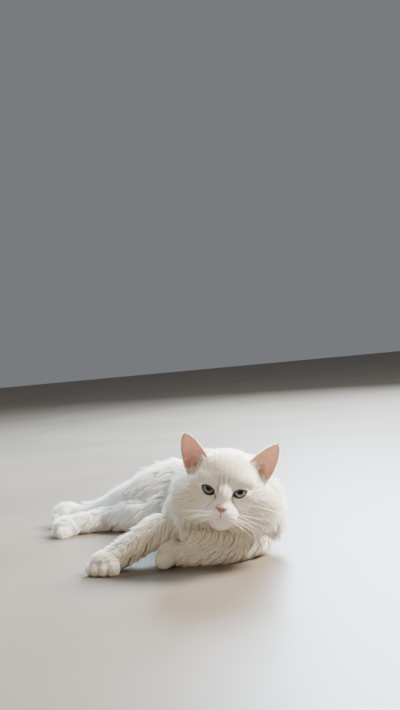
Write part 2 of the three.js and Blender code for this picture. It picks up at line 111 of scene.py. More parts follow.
eye_low, eye_high = (np.array(corner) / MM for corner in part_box("eye_left"))
eye = from_head(EYE_CENTRE)
MOVE = np.array([(eye_low[0] + eye_high[0]) / 2 - eye[0], eye_low[1] + EYE_RADIUS - eye[1], 0])
print("the drawing moves by", MOVE.round(1), "mm")

# %% [markdown]
# ## From numpy to a mesh
#
# Every new surface is an array of points and an array of faces. `from_pydata` is slow for big meshes,
# so the arrays go straight into the mesh with `foreach_set`. All pieces ride on the one body of the
# model, which has no joints.

# %% A mesh from arrays
def adjusted(thing, **values):
    """The thing, with some of its settings changed."""
    for name, value in values.items():
        setattr(thing, name, value)
    return thing


def new_object(name, data):
    """An object in the scene that shows a mesh, a light or a camera."""
    made = bpy.data.objects.new(name, data)
    scene.collection.objects.link(made)
    return made


def make_piece(name, points, faces, material, slot):
    """A surface from points in the drawing's millimetres and arrays of faces of three or four corners."""
    mesh = bpy.data.meshes.new(name)
    faces = [np.asarray(part, np.int32) for part in faces]
    loops = np.concatenate([part.ravel() for part in faces])
    sizes = np.concatenate([np.full(len(part), part.shape[1], np.int32) for part in faces])
    mesh.vertices.add(len(points))
    mesh.loops.add(len(loops))
    mesh.polygons.add(len(sizes))
    mesh.vertices.foreach_set("co", ((points + MOVE) * MM).astype(np.float32).ravel())
    mesh.loops.foreach_set("vertex_index", loops)
    mesh.polygons.foreach_set("loop_start", (np.cumsum(sizes) - sizes).astype(np.int32))
    mesh.polygons.foreach_set("use_smooth", np.ones(len(sizes), bool))
    mesh.update(calc_edges=True)
    mesh.validate()
    piece = new_object(name, mesh)
    if material:
        mesh.materials.append(material)
    if slot:
        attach(piece, "root")
    return piece


def grid_faces(rows, columns):
    """Quads between the rows of a grid whose columns run round and close."""
    row, column = np.meshgrid(np.arange(rows - 1), np.arange(columns), indexing="ij")
    here, beside = row * columns + column, row * columns + (column + 1) % columns
    return np.stack([here, beside, beside + columns, here + columns], -1).reshape(-1, 4)


def outwards(points, faces):
    """The faces, turned round if the volume under them, a sum of a . (b x c) / 6, comes out negative."""
    volume = 0
    for part in faces:
        for k in range(1, part.shape[1] - 1):
            a, b, c = points[part[:, 0]], points[part[:, k]], points[part[:, k + 1]]
            volume += (a * np.cross(b, c)).sum() / 6
    return faces if volume > 0 else [part[:, ::-1] for part in faces]


def closed_grid(grid):
    """Points and faces of a closed surface from rows of points. The first and last row close to a pole."""
    rows, columns = grid.shape[:2]
    inner = grid[1:-1].reshape(-1, 3)
    points = np.vstack([inner, grid[0].mean(0), grid[-1].mean(0)])
    ring = np.arange(columns)
    after = (ring + 1) % columns
    last = (rows - 3) * columns
    first_cap = np.stack([np.full(columns, len(inner)), after, ring], -1)
    last_cap = np.stack([np.full(columns, len(inner) + 1), last + ring, last + after], -1)
    return points, outwards(points, [grid_faces(rows - 2, columns), first_cap, last_cap])


# %% [markdown]
# ## The flesh under the coat
#
# The body is built of drawn-out forms, as in the solids: each runs along a smooth line through its
# stations, and each station holds a place, a half width, a half height and how deep the coat is there.
# The numbers are those of the solids, so the skin lies inside them by the depth of the coat.

# %% Smooth lines through stations
def smooth_line(stations, u):
    """A centripetal Catmull-Rom spline: between two stations a cubic whose slopes come from the
    neighbours, with steps as long as the square root of the distances."""
    p = np.asarray(stations, float)
    p = np.vstack([2 * p[0] - p[1], p, 2 * p[-1] - p[-2]])
    place = np.clip(np.asarray(u, float), 0, 1) * (len(p) - 3)
    k = np.minimum(place.astype(int), len(p) - 4)
    w = (place - k)[..., None]
    a, b, c, d = p[k], p[k + 1], p[k + 2], p[k + 3]
    step = [np.maximum(np.linalg.norm(n - m, axis=-1, keepdims=True), 1e-4) ** 0.5
            for m, n in ((a, b), (b, c), (c, d))]
    first = ((b - a) / step[0] - (c - a) / (step[0] + step[1]) + (c - b) / step[1]) * step[1]
    last = ((c - b) / step[1] - (d - b) / (step[1] + step[2]) + (d - c) / step[2]) * step[1]
    return b + first * w + (3 * (c - b) - 2 * first - last) * w**2 + (2 * (b - c) + first + last) * w**3


SAMPLES = 90


class Form:
    """A drawn-out form. way is +1 where the coat lies along its line and -1 where it lies against it,
    fall is how much the coat hangs down as well, and skirt how much it spreads out near the floor."""

    def __init__(self, name, stations, way=1, fall=0.35, skirt=0.0):
        s = np.array(stations, float)
        self.name, self.places, self.sizes = name, s[:, :3], s[:, 3:]
        self.way, self.fall, self.skirt = way, fall, skirt
        self.u = np.linspace(0.004, 0.996, SAMPLES)
        self.centre, self.along, self.side, self.up, self.size, self.end = self.at(self.u)
        self.length = np.linalg.norm(np.diff(self.centre, axis=0), axis=1).sum()

    def at(self, u):
        """The line's point, its three directions, its sizes and how far its blunt ends have narrowed."""
        centre = smooth_line(self.places, u)
        along = unit(smooth_line(self.places, u + 1e-3) - smooth_line(self.places, u - 1e-3))
        side = unit(np.cross([0, 0, 1], along))
        end = np.maximum(0, 1 - np.abs(2 * u - 1) ** 3) ** (1 / 3)
        return centre, along, side, np.cross(along, side), smooth_line(self.sizes, u), end

    def surface(self, rows=60, columns=48):
        """Rows of points round the line: centre + side * width * cos(angle) + up * height * sin(angle)."""
        u = (1 - np.cos(np.linspace(0, math.pi, rows))) / 2
        centre, _, side, up, size, end = self.at(u)
        angle = circle(columns)[:, None]
        wide, tall = ((size[:, i] * end)[:, None, None] for i in (0, 1))
        return centre[:, None] + side[:, None] * wide * np.cos(angle) + up[:, None] * tall * np.sin(angle)

    def nearest(self, points):
        """For each point the sample of the line whose ellipsoid it is deepest in, and how far it is
        outside that ellipsoid."""
        best = np.full(len(points), np.inf)
        found = np.zeros(len(points), int)
        for k in range(SAMPLES):
            wide, tall = self.size[k, :2] * max(self.end[k], 0.2)
            offset = points - self.centre[k]
            mean = (wide + tall) / 2
            scaled = np.stack([offset @ self.side[k] / wide, offset @ self.up[k] / tall,
                               offset @ self.along[k] / mean])
            outside = (np.sqrt((scaled**2).sum(0)) - 1) * mean
            nearer = outside < best
            best[nearer], found[nearer] = outside[nearer], k
        return found, best

    def lie(self, points, k):
        """The lie of the coat beside the line's samples: along it, down, and outwards below the line."""
        aside = (points - self.centre[k]) * [1, 1, 0]
        below = np.clip((self.centre[k, 2] - points[:, 2]) / self.size[k, 1], 0, 1)
        spread = unit(without(aside, self.along[k]))
        return self.along[k] * self.way + [0, 0, -self.fall] + self.skirt * below[:, None] * spread


# %% [markdown]
# The legs carry two forms each, an upper one down to the elbow or knee and a lower one that runs on
# through the foot. The coat lies down the legs, back over the neck and trunk, and along the tail.

# %% The forms of the body
FORMS = [
    Form("torso", [
        [50, -140, 64, 49, 46, 15], [52, -100, 63.5, 59, 58.5, 15], [48, -40, 65.5, 62, 60.5, 15],
        [37, 35, 64, 60, 59, 15], [23, 110, 59, 55, 54, 15], [9, 168, 53.5, 45, 45.5, 15],
        [2, 208, 47, 30, 29, 16],
    ], skirt=1.6),
    Form("neck", [
        [53, -88, 77, 53, 47, 18], [54, -118, 84, 54, 46, 25], [55, -146, 89, 54, 44, 30],
        [54, -176, 95, 46, 38, 29],
    ], way=-1, fall=0.7),
    Form("chest", [
        [-20, -156, 42, 24, 38, 12], [40, -160, 47, 26, 41, 14], [88, -156, 48, 24, 36, 14],
    ], way=0, fall=1, skirt=0.5),
    Form("tail", [
        [2, 196, 44, 16, 16, 16], [6, 240, 31, 13, 13, 21], [16, 282, 25, 11, 11, 25],
        [32, 322, 22, 9, 9, 26], [54, 358, 19, 7, 7, 25], [84, 384, 15, 5, 5, 19],
    ], fall=0.1),
    Form("foreleg_right", [
        [14, -104, 84, 34, 32, 10], [-10, -122, 73, 28, 27, 10], [-36, -136, 60, 21, 22, 9],
    ], fall=1.6),
    Form("foreleg_right", [
        [-30, -134, 61, 21, 22, 9], [-62, -146, 49, 17, 19, 9], [-94, -157, 36, 14, 15, 8],
        [-124, -167, 24, 15, 14, 6], [-150, -179, 15, 18, 12, 4],
    ], fall=1.1),
    Form("foreleg_left", [
        [88, -104, 76, 34, 34, 13], [102, -124, 52, 28, 28, 11], [106, -140, 30, 22, 22, 10],
    ]),
    Form("foreleg_left", [
        [107, -140, 24, 20, 21, 8], [62, -164, 23, 19, 20, 8], [22, -175, 20.5, 16, 17.5, 8],
        [-18, -172, 19, 15, 15, 7], [-50, -166, 15, 18, 12, 4],
    ]),
    Form("hindleg_right", [
        [8, 138, 64, 46, 42, 11], [-24, 142, 65, 43, 40, 12], [-58, 147, 62, 38, 35, 12],
        [-92, 153, 54, 31, 29, 11], [-114, 160, 47, 24, 24, 10],
    ], fall=0.7),
    Form("hindleg_right", [
        [-70, 149, 58, 32, 31, 11], [-100, 157, 52, 28, 28, 10], [-130, 170, 44, 21, 22, 9],
        [-176, 195, 29, 13, 14, 8], [-216, 210, 23, 12, 13, 8], [-257, 225, 18, 16, 15, 6],
    ], fall=0.9),
    Form("hindleg_left", [
        [4, 140, 43, 42, 39, 11], [-38, 112, 36, 36, 33, 12], [-78, 86, 31, 25, 26, 11],
    ], fall=0.7),
    Form("hindleg_left", [
        [-74, 88, 31, 24, 25, 11], [-120, 121, 25.5, 18, 20.5, 9], [-164, 150, 20.5, 12, 15.5, 9],
        [-206, 142, 21, 12, 13, 9], [-250, 130, 16, 16, 12, 6],
    ], fall=1),
]
HEAD = len(FORMS)  # the head's number, after those of the forms
print("forms:", ", ".join(f"{form.name} {form.length:.0f} mm" for form in FORMS))

# %% [markdown]
# A palm and four toes, all ellipsoids, fill the end of each foot. The toes spread ahead of the palm,
# and the middle two reach furthest.

# %% The palms and toes
TOE_RADIUS, TOE_SPACING, TOE_SPREAD = 7.6, 13, 0.12
TOE_SHAPE = np.array([1.6, 0.84, 1.35])
LONG_PALM = 20
FEET = {  # where the leg's line ends, the toes' heading in degrees, their height, the palm's half sizes
    "foreleg_right": ([-141, -181], 246, 10, [18, 22, 16]),
    "foreleg_left": ([-47, -168], 184, 12, [18, 20, 17]),
    "hindleg_right": ([-254, 223], 168, 18, [24, 19, 15]),
    "hindleg_left": ([-243, 131], 200, 10, [24, 19, 15]),
}


def ball(rows=24, columns=28):
    """Rows of points of a unit sphere, from pole to pole along z."""
    polar = np.linspace(0, math.pi, rows)[:, None]
    around = circle(columns)
    return stacked(np.sin(polar) * np.cos(around), np.sin(polar) * np.sin(around), np.cos(polar))


def toes_of(end, heading, height, palm):
    """The palm and the four toes of a foot, each [middle, half sizes, heading]."""
    turn = math.radians(heading)
    ahead, aside = np.array([[math.cos(turn), math.sin(turn), 0], [-math.sin(turn), math.cos(turn), 0]])
    yield np.array([*end, palm[2] + 1 + (height - 10)]) - 8 * ahead, np.array(palm), turn
    for place in (-1.5, -0.5, 0.5, 1.5):
        middle = np.array([*end, height])
        middle = middle + ahead * (8 - 3.2 * abs(place)) + aside * place * TOE_SPACING
        yield middle, TOE_SHAPE * TOE_RADIUS, turn + place * TOE_SPREAD


def toe_surface(middle, sizes, turn):
    """A unit sphere scaled to the half sizes, turned about z and moved to the middle."""
    spin = np.array([[math.cos(turn), -math.sin(turn), 0], [math.sin(turn), math.cos(turn), 0], [0, 0, 1]])
    return (ball() * sizes) @ spin.T + middle


TOES = [toe for foot in FEET.values() for toe in toes_of(*foot)]
print("palms and toes:", len(TOES))

# %% [markdown]
# ## The head
#
# The head is a sum of soft lumps: braincase, forehead, bridge, snout, chin, jaw, brows and cheeks.
# Each lump adds a bell-shaped share that is one on its own surface, and the head's surface is where
# the shares add up to one. Along a ray from the middle of the head there is one such place, so the
# whole head is a function of direction, found by stepping inwards and then halving.

# %% How far the flesh of the head reaches in a direction
HEAD_LUMPS = np.array([  # middle and half sizes
    [0, 8, 9, 46, 46, 42], [0, -18, 20, 34, 25, 27], [0, -40, -1, 12, 18, 14],
    [0, -45, -20, 17, 17, 14], [0, -42, -41, 14, 13, 10], [0, -18, -32, 33, 32, 18],
])
HEAD_PAIRS = np.array([
    [21, -30, 18, 16, 11, 10], [32, 17, 26, 16, 13, 17],
    [36, -6, -15, 24, 31, 27], [9.5, -50, -27, 13, 12.5, 11],
])
LUMPS = np.vstack([HEAD_LUMPS, HEAD_PAIRS, HEAD_PAIRS * [-1, 1, 1, 1, 1, 1]])
BLEND = 2.8
MIDDLE = np.array([0, -16, -8])
FURTHEST, STRIDE, HALVINGS = 100.0, 2, 12


def flesh_share(points):
    """The sum over all lumps of exp(BLEND * (1 - q)), with q the squared distance in half sizes."""
    total = np.zeros(points.shape[:-1])
    for lump in LUMPS:
        q = (((points - lump[:3]) / lump[3:]) ** 2).sum(-1)
        total += np.exp(BLEND * (1 - q))
    return total


def flesh_reach(direction):
    """The distance from the head's middle to its flesh."""
    reach = np.full(direction.shape[:-1], FURTHEST)
    for _ in range(int(FURTHEST / STRIDE)):
        reach -= STRIDE * (flesh_share(MIDDLE + direction * reach[..., None]) < 1)
    low, high = reach, reach + STRIDE
    for _ in range(HALVINGS):
        half = (low + high) / 2
        inside = flesh_share(MIDDLE + direction * half[..., None]) > 1
        low, high = np.where(inside, half, low), np.where(inside, high, half)
    return low


def head_direction(polar, around):
    """A direction at an angle from the way the face looks, and at an angle round that line."""
    return stacked(np.sin(polar) * np.cos(around), -np.cos(polar), np.sin(polar) * np.sin(around))


def smoothstep(value, low, high):
    """0 below low, 1 above high, and t * t * (3 - 2 t) between them."""
    t = np.clip((value - low) / (high - low), 0, 1)
    return t * t * (3 - 2 * t)


FACE_COAT, CROWN_COAT, CHEEK_COAT = 1.8, 7, 21


def head_coat(direction):
    """Depth of the coat: short on the face, longer on the crown, longest on the cheeks and the jaw."""
    face = smoothstep(-direction[..., 1], 0.1, 0.7)
    crown = smoothstep(direction[..., 2], 0, 0.6)
    behind = CHEEK_COAT + (CROWN_COAT - CHEEK_COAT) * crown
    nape = smoothstep(direction[..., 1], 0.1, 0.8)
    return behind + (FACE_COAT - behind) * face + (CHEEK_COAT - behind) * nape * 0.3


# %% [markdown]
# ## Eyelids, mouth and nose on the head
#
# The lids are a sphere a little bigger than the eyeball that swells out of the head, and the almond
# between them is sunk below the eyeball so that the eye shows. The almond is drawn as seen from in
# front, between two quadratic curves that meet in its corners. The inner corner hangs down a little,
# as in all cats. The mouth is a line that dips on both sides of the furrow under the nose.

# %% The almond between the lids
LID = 1.4
INNER_CORNER, OUTER_CORNER = np.array([[-11.3, -4.8], [11.6, 3.3]])
UPPER_PULL, LOWER_PULL = np.array([[-1.5, 11], [3.0, -14.3]])
EDGE_STEPS = np.linspace(0, 1, 60)[:, None]


def lid_edge(pull):
    """The quadratic curve from the inner to the outer corner that is pulled towards a point."""
    t = EDGE_STEPS
    return (1 - t) ** 2 * INNER_CORNER + 2 * t * (1 - t) * pull + t**2 * OUTER_CORNER


UPPER_LID, LOWER_LID = lid_edge(UPPER_PULL), lid_edge(LOWER_PULL)


def inside_almond(points, side):
    """How far points of the head's frame are inside the almond, seen from in front; negative outside."""
    x = (points[..., 0] - side * EYE_CENTRE[0]) * side
    z = points[..., 2] - EYE_CENTRE[2]
    top = np.interp(x, UPPER_LID[:, 0], UPPER_LID[:, 1])
    foot = np.interp(x, LOWER_LID[:, 0], LOWER_LID[:, 1])
    ends = np.minimum(x - INNER_CORNER[0], OUTER_CORNER[0] - x)
    return np.minimum(np.minimum(top - z, z - foot), ends + np.minimum(top - foot, 0))


# %% The mouth's line and the nose's place
NOSE_PLACE = np.array([0, -58, -16.5])
MOUTH_WIDTH, MOUTH_TOP, MOUTH_DIP = 34, -28.5, 4
mouth_share = np.linspace(-1, 1, 81)
mouth_dips = MOUTH_DIP * np.sin(math.pi * np.minimum(1, np.abs(mouth_share) * 1.15))
MOUTH = stacked(mouth_share * MOUTH_WIDTH / 2, MOUTH_TOP - mouth_dips)
FURROW = stacked(0, np.linspace(NOSE_PLACE[2] - 4, MOUTH_TOP, 20))


def distance_to(line, points):
    """Distance, seen from in front, from each point to the nearest point of a line of [x, z]."""
    flat = points[..., [0, 2]].reshape(-1, 1, 2)
    gap = np.full(len(flat), np.inf)
    for start in range(0, len(line), 8):
        gap = np.minimum(gap, np.linalg.norm(flat - line[start:start + 8], axis=-1).min(1))
    return gap.reshape(points.shape[:-1])


# %% The skin of the head
ALMOND_DEPTH, LIP_RISE, MOUTH_DEPTH, FURROW_DEPTH = 7, 1.1, 2.4, 1.6
HEAD_RINGS, HEAD_SIDES = 150, 220


def ridge(value, middle, width):
    """The bell curve exp(-((value - middle) / width) ** 2)."""
    return np.exp(-(((value - middle) / width) ** 2))


def head_reach(direction):
    """The flesh with lids swelling out, the almonds, the mouth and the furrow sunk in, and lips raised."""
    reach = flesh_reach(direction)
    for side in SIDES.values():
        to_eye = mirrored(EYE_CENTRE, side) - MIDDLE
        ahead = direction @ to_eye
        room = ahead**2 - to_eye @ to_eye + (EYE_RADIUS + LID) ** 2
        lid = np.where((room > 0) & (ahead > 0), ahead + np.sqrt(np.maximum(room, 0)), 0)
        reach = np.maximum(reach, lid)
    points = MIDDLE + direction * reach[..., None]
    front = smoothstep(-points[..., 1], 24, 34)
    for side in SIDES.values():
        reach -= ALMOND_DEPTH * smoothstep(inside_almond(points, side), -0.4, 1.2) * front
    mouth, furrow = distance_to(MOUTH, points), distance_to(FURROW, points)
    snout = smoothstep(-points[..., 1], 40, 46)
    reach += snout * (LIP_RISE * ridge(mouth, 2.2, 1.5) - MOUTH_DEPTH * ridge(mouth, 0, 1.1))
    return reach - snout * FURROW_DEPTH * ridge(furrow, 0, 1.0)


ring_polar = math.pi * np.linspace(0, 1, HEAD_RINGS)[:, None] ** 1.25
head_ways = head_direction(ring_polar, circle(HEAD_SIDES))
head_grid = from_head(MIDDLE + head_ways * head_reach(head_ways)[..., None])
print("the bare head is", np.ptp(to_head(head_grid.reshape(-1, 3)), axis=0).round(), "mm")

# %% [markdown]
# ## One skin
#
# The forms, palms and toes are laid into one mesh and remeshed with small voxels, which melts them
# into one another, and a few rounds of smoothing soften the creases. The head keeps its own finer grid
# and is joined to the body with a Boolean union. The result is one closed skin without seams.

# %% Melt the body into one skin and join the head
VOXEL = 0.0026


def joined(parts):
    """Several [points, faces] as one: the faces of each count on from the points before them."""
    counts = np.cumsum([0] + [len(points) for points, _ in parts])
    quads = [faces[0] + count for (_, faces), count in zip(parts, counts)]
    fans = [np.vstack(faces[1:]) + count for (_, faces), count in zip(parts, counts)]
    return np.vstack([points for points, _ in parts]), [np.vstack(quads), np.vstack(fans)]


def apply_modifiers(piece):
    """The mesh as its modifiers leave it takes the place of the piece's own."""
    evaluated = piece.evaluated_get(bpy.context.evaluated_depsgraph_get())
    mesh = bpy.data.meshes.new_from_object(evaluated)
    piece.modifiers.clear()
    piece.data = mesh


body_grids = [form.surface() for form in FORMS] + [toe_surface(*toe) for toe in TOES]
skin = make_piece("skin", *joined([closed_grid(grid) for grid in body_grids]), None, "fur")
adjusted(skin.modifiers.new("melt", "REMESH"), mode="VOXEL", voxel_size=VOXEL, use_smooth_shade=True)
adjusted(skin.modifiers.new("soften", "SMOOTH"), factor=0.5, iterations=5)
apply_modifiers(skin)

head_shell = make_piece("head_shell", *closed_grid(head_grid), None, None)
adjusted(skin.modifiers.new("union", "BOOLEAN"), operation="UNION", solver="MANIFOLD", object=head_shell)
apply_modifiers(skin)
bpy.data.objects.remove(head_shell)
skin.data.polygons.foreach_set("use_smooth", np.ones(len(skin.data.polygons), bool))
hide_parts(*[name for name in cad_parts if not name.startswith(("eye", "ear", "nose"))])
print("the skin has", sum(len(p.vertices) - 2 for p in skin.data.polygons), "triangles")

# %% [markdown]
# ## The lie of the coat as a field in space
#
# Fur doesn't stand straight on the skin: it leaves it at an angle and then lies along the body, back
# from the nose, down the neck and flanks, and along each leg and the tail. To let every tuft follow
# that lie, also round a bend, the lie is worked out once on a coarse grid that fills the space round
# the cat. Each form gives its own direction there, weighted by how near it is, and the head's coat
# runs away from the nose. The distance to the skin is a soft minimum of the distances to the forms,
# and its gradient is the way out of the coat.

# %% Distance, lie and depth of the coat for any points
NOSE_TIP = np.array([0, -64, -15])
FAR, FORM_ROOM, HEAD_ROOM = 200.0, 60, 150
NEAR = 5.0  # millimetres over which one form's coat gives way to the next


def pull_of_forms(points):
    """For each form and the head: how far points are outside it, its lie, and its depth of coat."""
    far, flow, depth = [], [], []
    for form in FORMS:
        k, outside = np.zeros(len(points), int), np.full(len(points), FAR)
        room = form.size.max() + FORM_ROOM
        low, high = form.centre.min(0) - room, form.centre.max(0) + room
        close = ((points > low) & (points < high)).all(1)
        k[close], outside[close] = form.nearest(points[close])
        far.append(outside)
        flow.append(form.lie(points, k))
        depth.append(form.size[k, 2])
    local = to_head(points)
    offset = local - MIDDLE
    away = np.linalg.norm(offset, axis=1)
    direction = offset / np.maximum(away, 1)[:, None]
    outside, close = np.full(len(points), FAR), away < HEAD_ROOM
    outside[close] = away[close] - flesh_reach(direction[close])
    far.append(outside)
    behind = smoothstep(direction[:, 1], -0.6, 0.1) * (1 - smoothstep(direction[:, 2], 0.1, 0.7))
    flow.append(unit(local - NOSE_TIP) @ HEAD_TURN.T + behind[:, None] * [0, 0, -0.9])
    depth.append(head_coat(direction))
    return np.array(far), np.array(flow), np.array(depth)


def coat_at(points):
    """The soft distance to the skin, the blended lie and depth, and the form that is nearest."""
    far, flow, depth = pull_of_forms(points)
    weight = np.exp(-np.clip(far - far.min(0), 0, 80) / NEAR)
    share = weight / weight.sum(0)
    distance = far.min(0) - NEAR * np.log(weight.sum(0)) * 0.5
    return distance, (share[..., None] * flow).sum(0), (share * depth).sum(0), far.argmin(0)


# %% The field on a grid
CELL = 6.0
field_low = np.array([-330.0, -330.0, -20.0])
field_size = np.array([96, 131, 40])
axes = [low + CELL * np.arange(count) for low, count in zip(field_low, field_size)]
crossings = np.stack(np.meshgrid(*axes, indexing="ij"), -1).reshape(-1, 3)
distance, flow, _, _ = coat_at(crossings)
distance = distance.reshape(field_size)
way_out = unit(np.stack(np.gradient(distance, CELL), -1))
field = np.concatenate([way_out, flow.reshape(*field_size, 3)], -1)
print("field:", len(crossings), "points,", int((np.abs(distance) < 30).sum()), "near the skin")


def look_up(points):
    """The way out and the lie at any points, mixed from the eight grid points round each."""
    place = np.clip((points - field_low) / CELL, 0, field_size - 1.001)
    cell = place.astype(int)
    t = place - cell
    found = 0
    for corner in np.ndindex(2, 2, 2):
        share = np.prod(np.where(corner, t, 1 - t), axis=1)[:, None]
        found = found + share * field[tuple((cell + corner).T)]
    out = unit(found[:, :3])
    return out, unit(without(found[:, 3:], out))


# %% [markdown]
# ## A map of the skin
#
# The finished model carries its colours on an image, so each piece of the coat needs a flat map. The
# skin is unwrapped form by form: each form is opened like a sleeve, with the share of its line across
# and the angle round it upwards, and the head is opened like a globe. A tuft covers a tiny patch of
# that map at the place of its root, so it takes the colour of the skin that it grows from.

# %% Unwrap the skin
SLEEVES = np.array(  # corner, width and height on the map: large for the trunk and the head
    [(0.5, 0.0, 0.5, 0.5)]
    + [(0.25 * (i % 4), 0.5 + (i // 4) / 6, 0.25, 1 / 6) for i in range(len(FORMS) - 1)]
    + [(0.0, 0.0, 0.5, 0.5)])


def sleeve_place(points, owner):
    """The share of the line (or of the way from the face) and the turn round it, both from 0 to 1."""
    place = np.zeros((len(points), 2))
    for i, form in enumerate(FORMS):
        mine = owner == i
        if not mine.any():
            continue
        k, _ = form.nearest(points[mine])
        offset = points[mine] - form.centre[k]
        place[mine, 0] = form.u[k] + (offset * form.along[k]).sum(1) / form.length
        wide, tall = form.size[k, 0], form.size[k, 1]
        turn = np.arctan2((offset * form.up[k]).sum(1) / tall, (offset * form.side[k]).sum(1) / wide)
        place[mine, 1] = turn / (2 * math.pi) + 0.5
    mine = owner == HEAD
    direction = unit(to_head(points[mine]) - MIDDLE)
    place[mine, 0] = np.arccos(np.clip(-direction[:, 1], -1, 1)) / math.pi
    place[mine, 1] = np.arctan2(direction[:, 2], direction[:, 0]) / (2 * math.pi) + 0.5
    return place


def on_map(place, owner):
    """A place on a sleeve, moved to that sleeve's part of the whole map."""
    cell = SLEEVES[owner]
    return cell[:, :2] + cell[:, 2:] * (0.02 + 0.96 * np.clip(place, 0, 1))


def set_map(mesh, corners):
    """Writes [u, v] for every face corner into the map named OFBake."""
    layer = mesh.uv_layers.new(name="OFBake")
    layer.uv.foreach_set("vector", np.clip(corners, 0, 1).astype(np.float32).ravel())


def read(elements, name, width=1, kind=np.int32):
    """One property of all elements of a mesh, as an array of so many numbers each."""
    values = np.zeros(len(elements) * width, kind)
    elements.foreach_get(name, values)
    return values.reshape(-1, width) if width > 1 else values


skin.data.calc_loop_triangles()
skin_points = read(skin.data.vertices, "co", 3, np.float32) / MM - MOVE
skin_normals = read(skin.data.vertices, "normal", 3, np.float32)
skin_triangles = read(skin.data.loop_triangles, "vertices", 3)
loop_points = read(skin.data.loops, "vertex_index")
loop_starts = read(skin.data.polygons, "loop_start")
loop_face = np.repeat(np.arange(len(loop_starts)), np.diff(np.append(loop_starts, len(loop_points))))
face_middles = np.add.reduceat(skin_points[loop_points], loop_starts) / np.bincount(loop_face)[:, None]
face_owner = coat_at(face_middles)[3]
face_place = sleeve_place(face_middles, face_owner)
corner_place = sleeve_place(skin_points[loop_points], face_owner[loop_face])
corner_place[:, 1] -= np.round(corner_place[:, 1] - face_place[loop_face, 1])
set_map(skin.data, on_map(corner_place, face_owner[loop_face]))
print("map: sleeves for", len(FORMS), "forms and the head")

# %% [markdown]
# ## A tuft
#
# A tuft is a thin closed spike of three sides. It starts a little under the skin and grows in steps:
# at each step it looks up the lie of the coat where it has got to, and goes that way, lifted off the
# skin by an angle that falls from its root to its tip. Tufts near one another then lean together,
# towards a few leaders, because real fur parts into soft locks. Light scatters through fine fur, so a
# tuft is shaded partly as the skin under it: its normals are mixed with the skin's.

# %% Grow tufts from their roots
ROOT_DEPTH, FLOOR_CLEAR = 1.0, 0.4
PATCH = 0.003  # a tuft's share of the map's width
BATCH = 4000


def grow(roots, outs, length, lift, wave, segments):
    """Centre lines: each step adds length / segments along cos(angle) * lie + sin(angle) * out, where
    the angle falls from lift to a third of it. Near the root the way out is the skin's own."""
    path = [roots - outs * ROOT_DEPTH]
    here = roots.copy()
    phase = chance.uniform(0, 2 * math.pi, len(roots))
    stride = (length / segments)[:, None]
    for k in range(segments):
        out, lie = look_up(here)
        t = (k + 0.5) / segments
        out = unit(out * t + outs * (1.2 - t))
        lie = unit(without(lie, out))
        angle = (lift * (1 - 0.66 * t))[:, None]
        sway = (wave * np.cos(2.2 * math.pi * t + phase))[:, None]
        step = np.cos(angle) * (lie + sway * np.cross(out, lie)) + np.sin(angle) * out
        here = here + stride * step / np.linalg.norm(step, axis=1, keepdims=True)
        path.append(here)
    return np.stack(path, 1)


def gather(path, region, every, strength):
    """Leans each tuft towards the nearest of a few leaders of its region, more and more to its tip."""
    leaders = chance.choice(len(path), max(1, len(path) // every), replace=False)
    t = (np.linspace(0, 1, path.shape[1]) ** 1.3)[None, :, None]
    gathered = path.copy()
    lead_roots = path[leaders, 0]
    for start in range(0, len(path), BATCH):
        batch = slice(start, start + BATCH)
        mine = path[batch, 0]
        gap = (mine**2).sum(1)[:, None] + (lead_roots**2).sum(1) - 2 * mine @ lead_roots.T
        gap += 1e4 * (region[batch, None] != region[leaders])
        gathered[batch] += strength * t * (path[leaders[gap.argmin(1)]] - path[batch])
    return gathered


def spikes(path, outs, width, flat=0.5):
    """Points and faces of closed spikes: three points round each step of a centre line, and a tip.
    The width at a share t of the line is (0.7 + 1.1 t) (1 - t) ** 0.7 of the whole."""
    count, rings = path.shape[0], path.shape[1] - 1
    along = unit(np.gradient(path, axis=1))
    side = unit(np.cross(outs[:, None], along))
    up = np.cross(along, side)
    t = np.arange(rings) / rings
    swell = ((0.7 + 1.1 * t) * (1 - t) ** 0.7)[None, :, None]
    half = width[:, None, None] * swell / 2
    around = np.array([math.pi / 2, math.pi * 7 / 6, math.pi * 11 / 6])
    ring = (path[:, :rings, None]
            + side[:, :rings, None] * half[..., None] * np.cos(around)[:, None]
            + up[:, :rings, None] * half[..., None] * flat * np.sin(around)[:, None])
    points = np.concatenate([ring.reshape(count, rings * 3, 3), path[:, -1:]], 1)
    points[..., 2] = np.maximum(points[..., 2], FLOOR_CLEAR)
    one = np.arange(rings - 1)[:, None] * 3 + np.arange(3)
    after = np.arange(rings - 1)[:, None] * 3 + (np.arange(3) + 1) % 3
    quads = np.stack([one, after, after + 3, one + 3], -1).reshape(-1, 4)
    top = (rings - 1) * 3
    ends = np.array([[2, 1, 0]] + [[top + i, top + (i + 1) % 3, rings * 3] for i in range(3)])
    first = (np.arange(count) * points.shape[1])[:, None, None]
    return points.reshape(-1, 3), [(quads + first).reshape(-1, 4), (ends + first).reshape(-1, 3)]


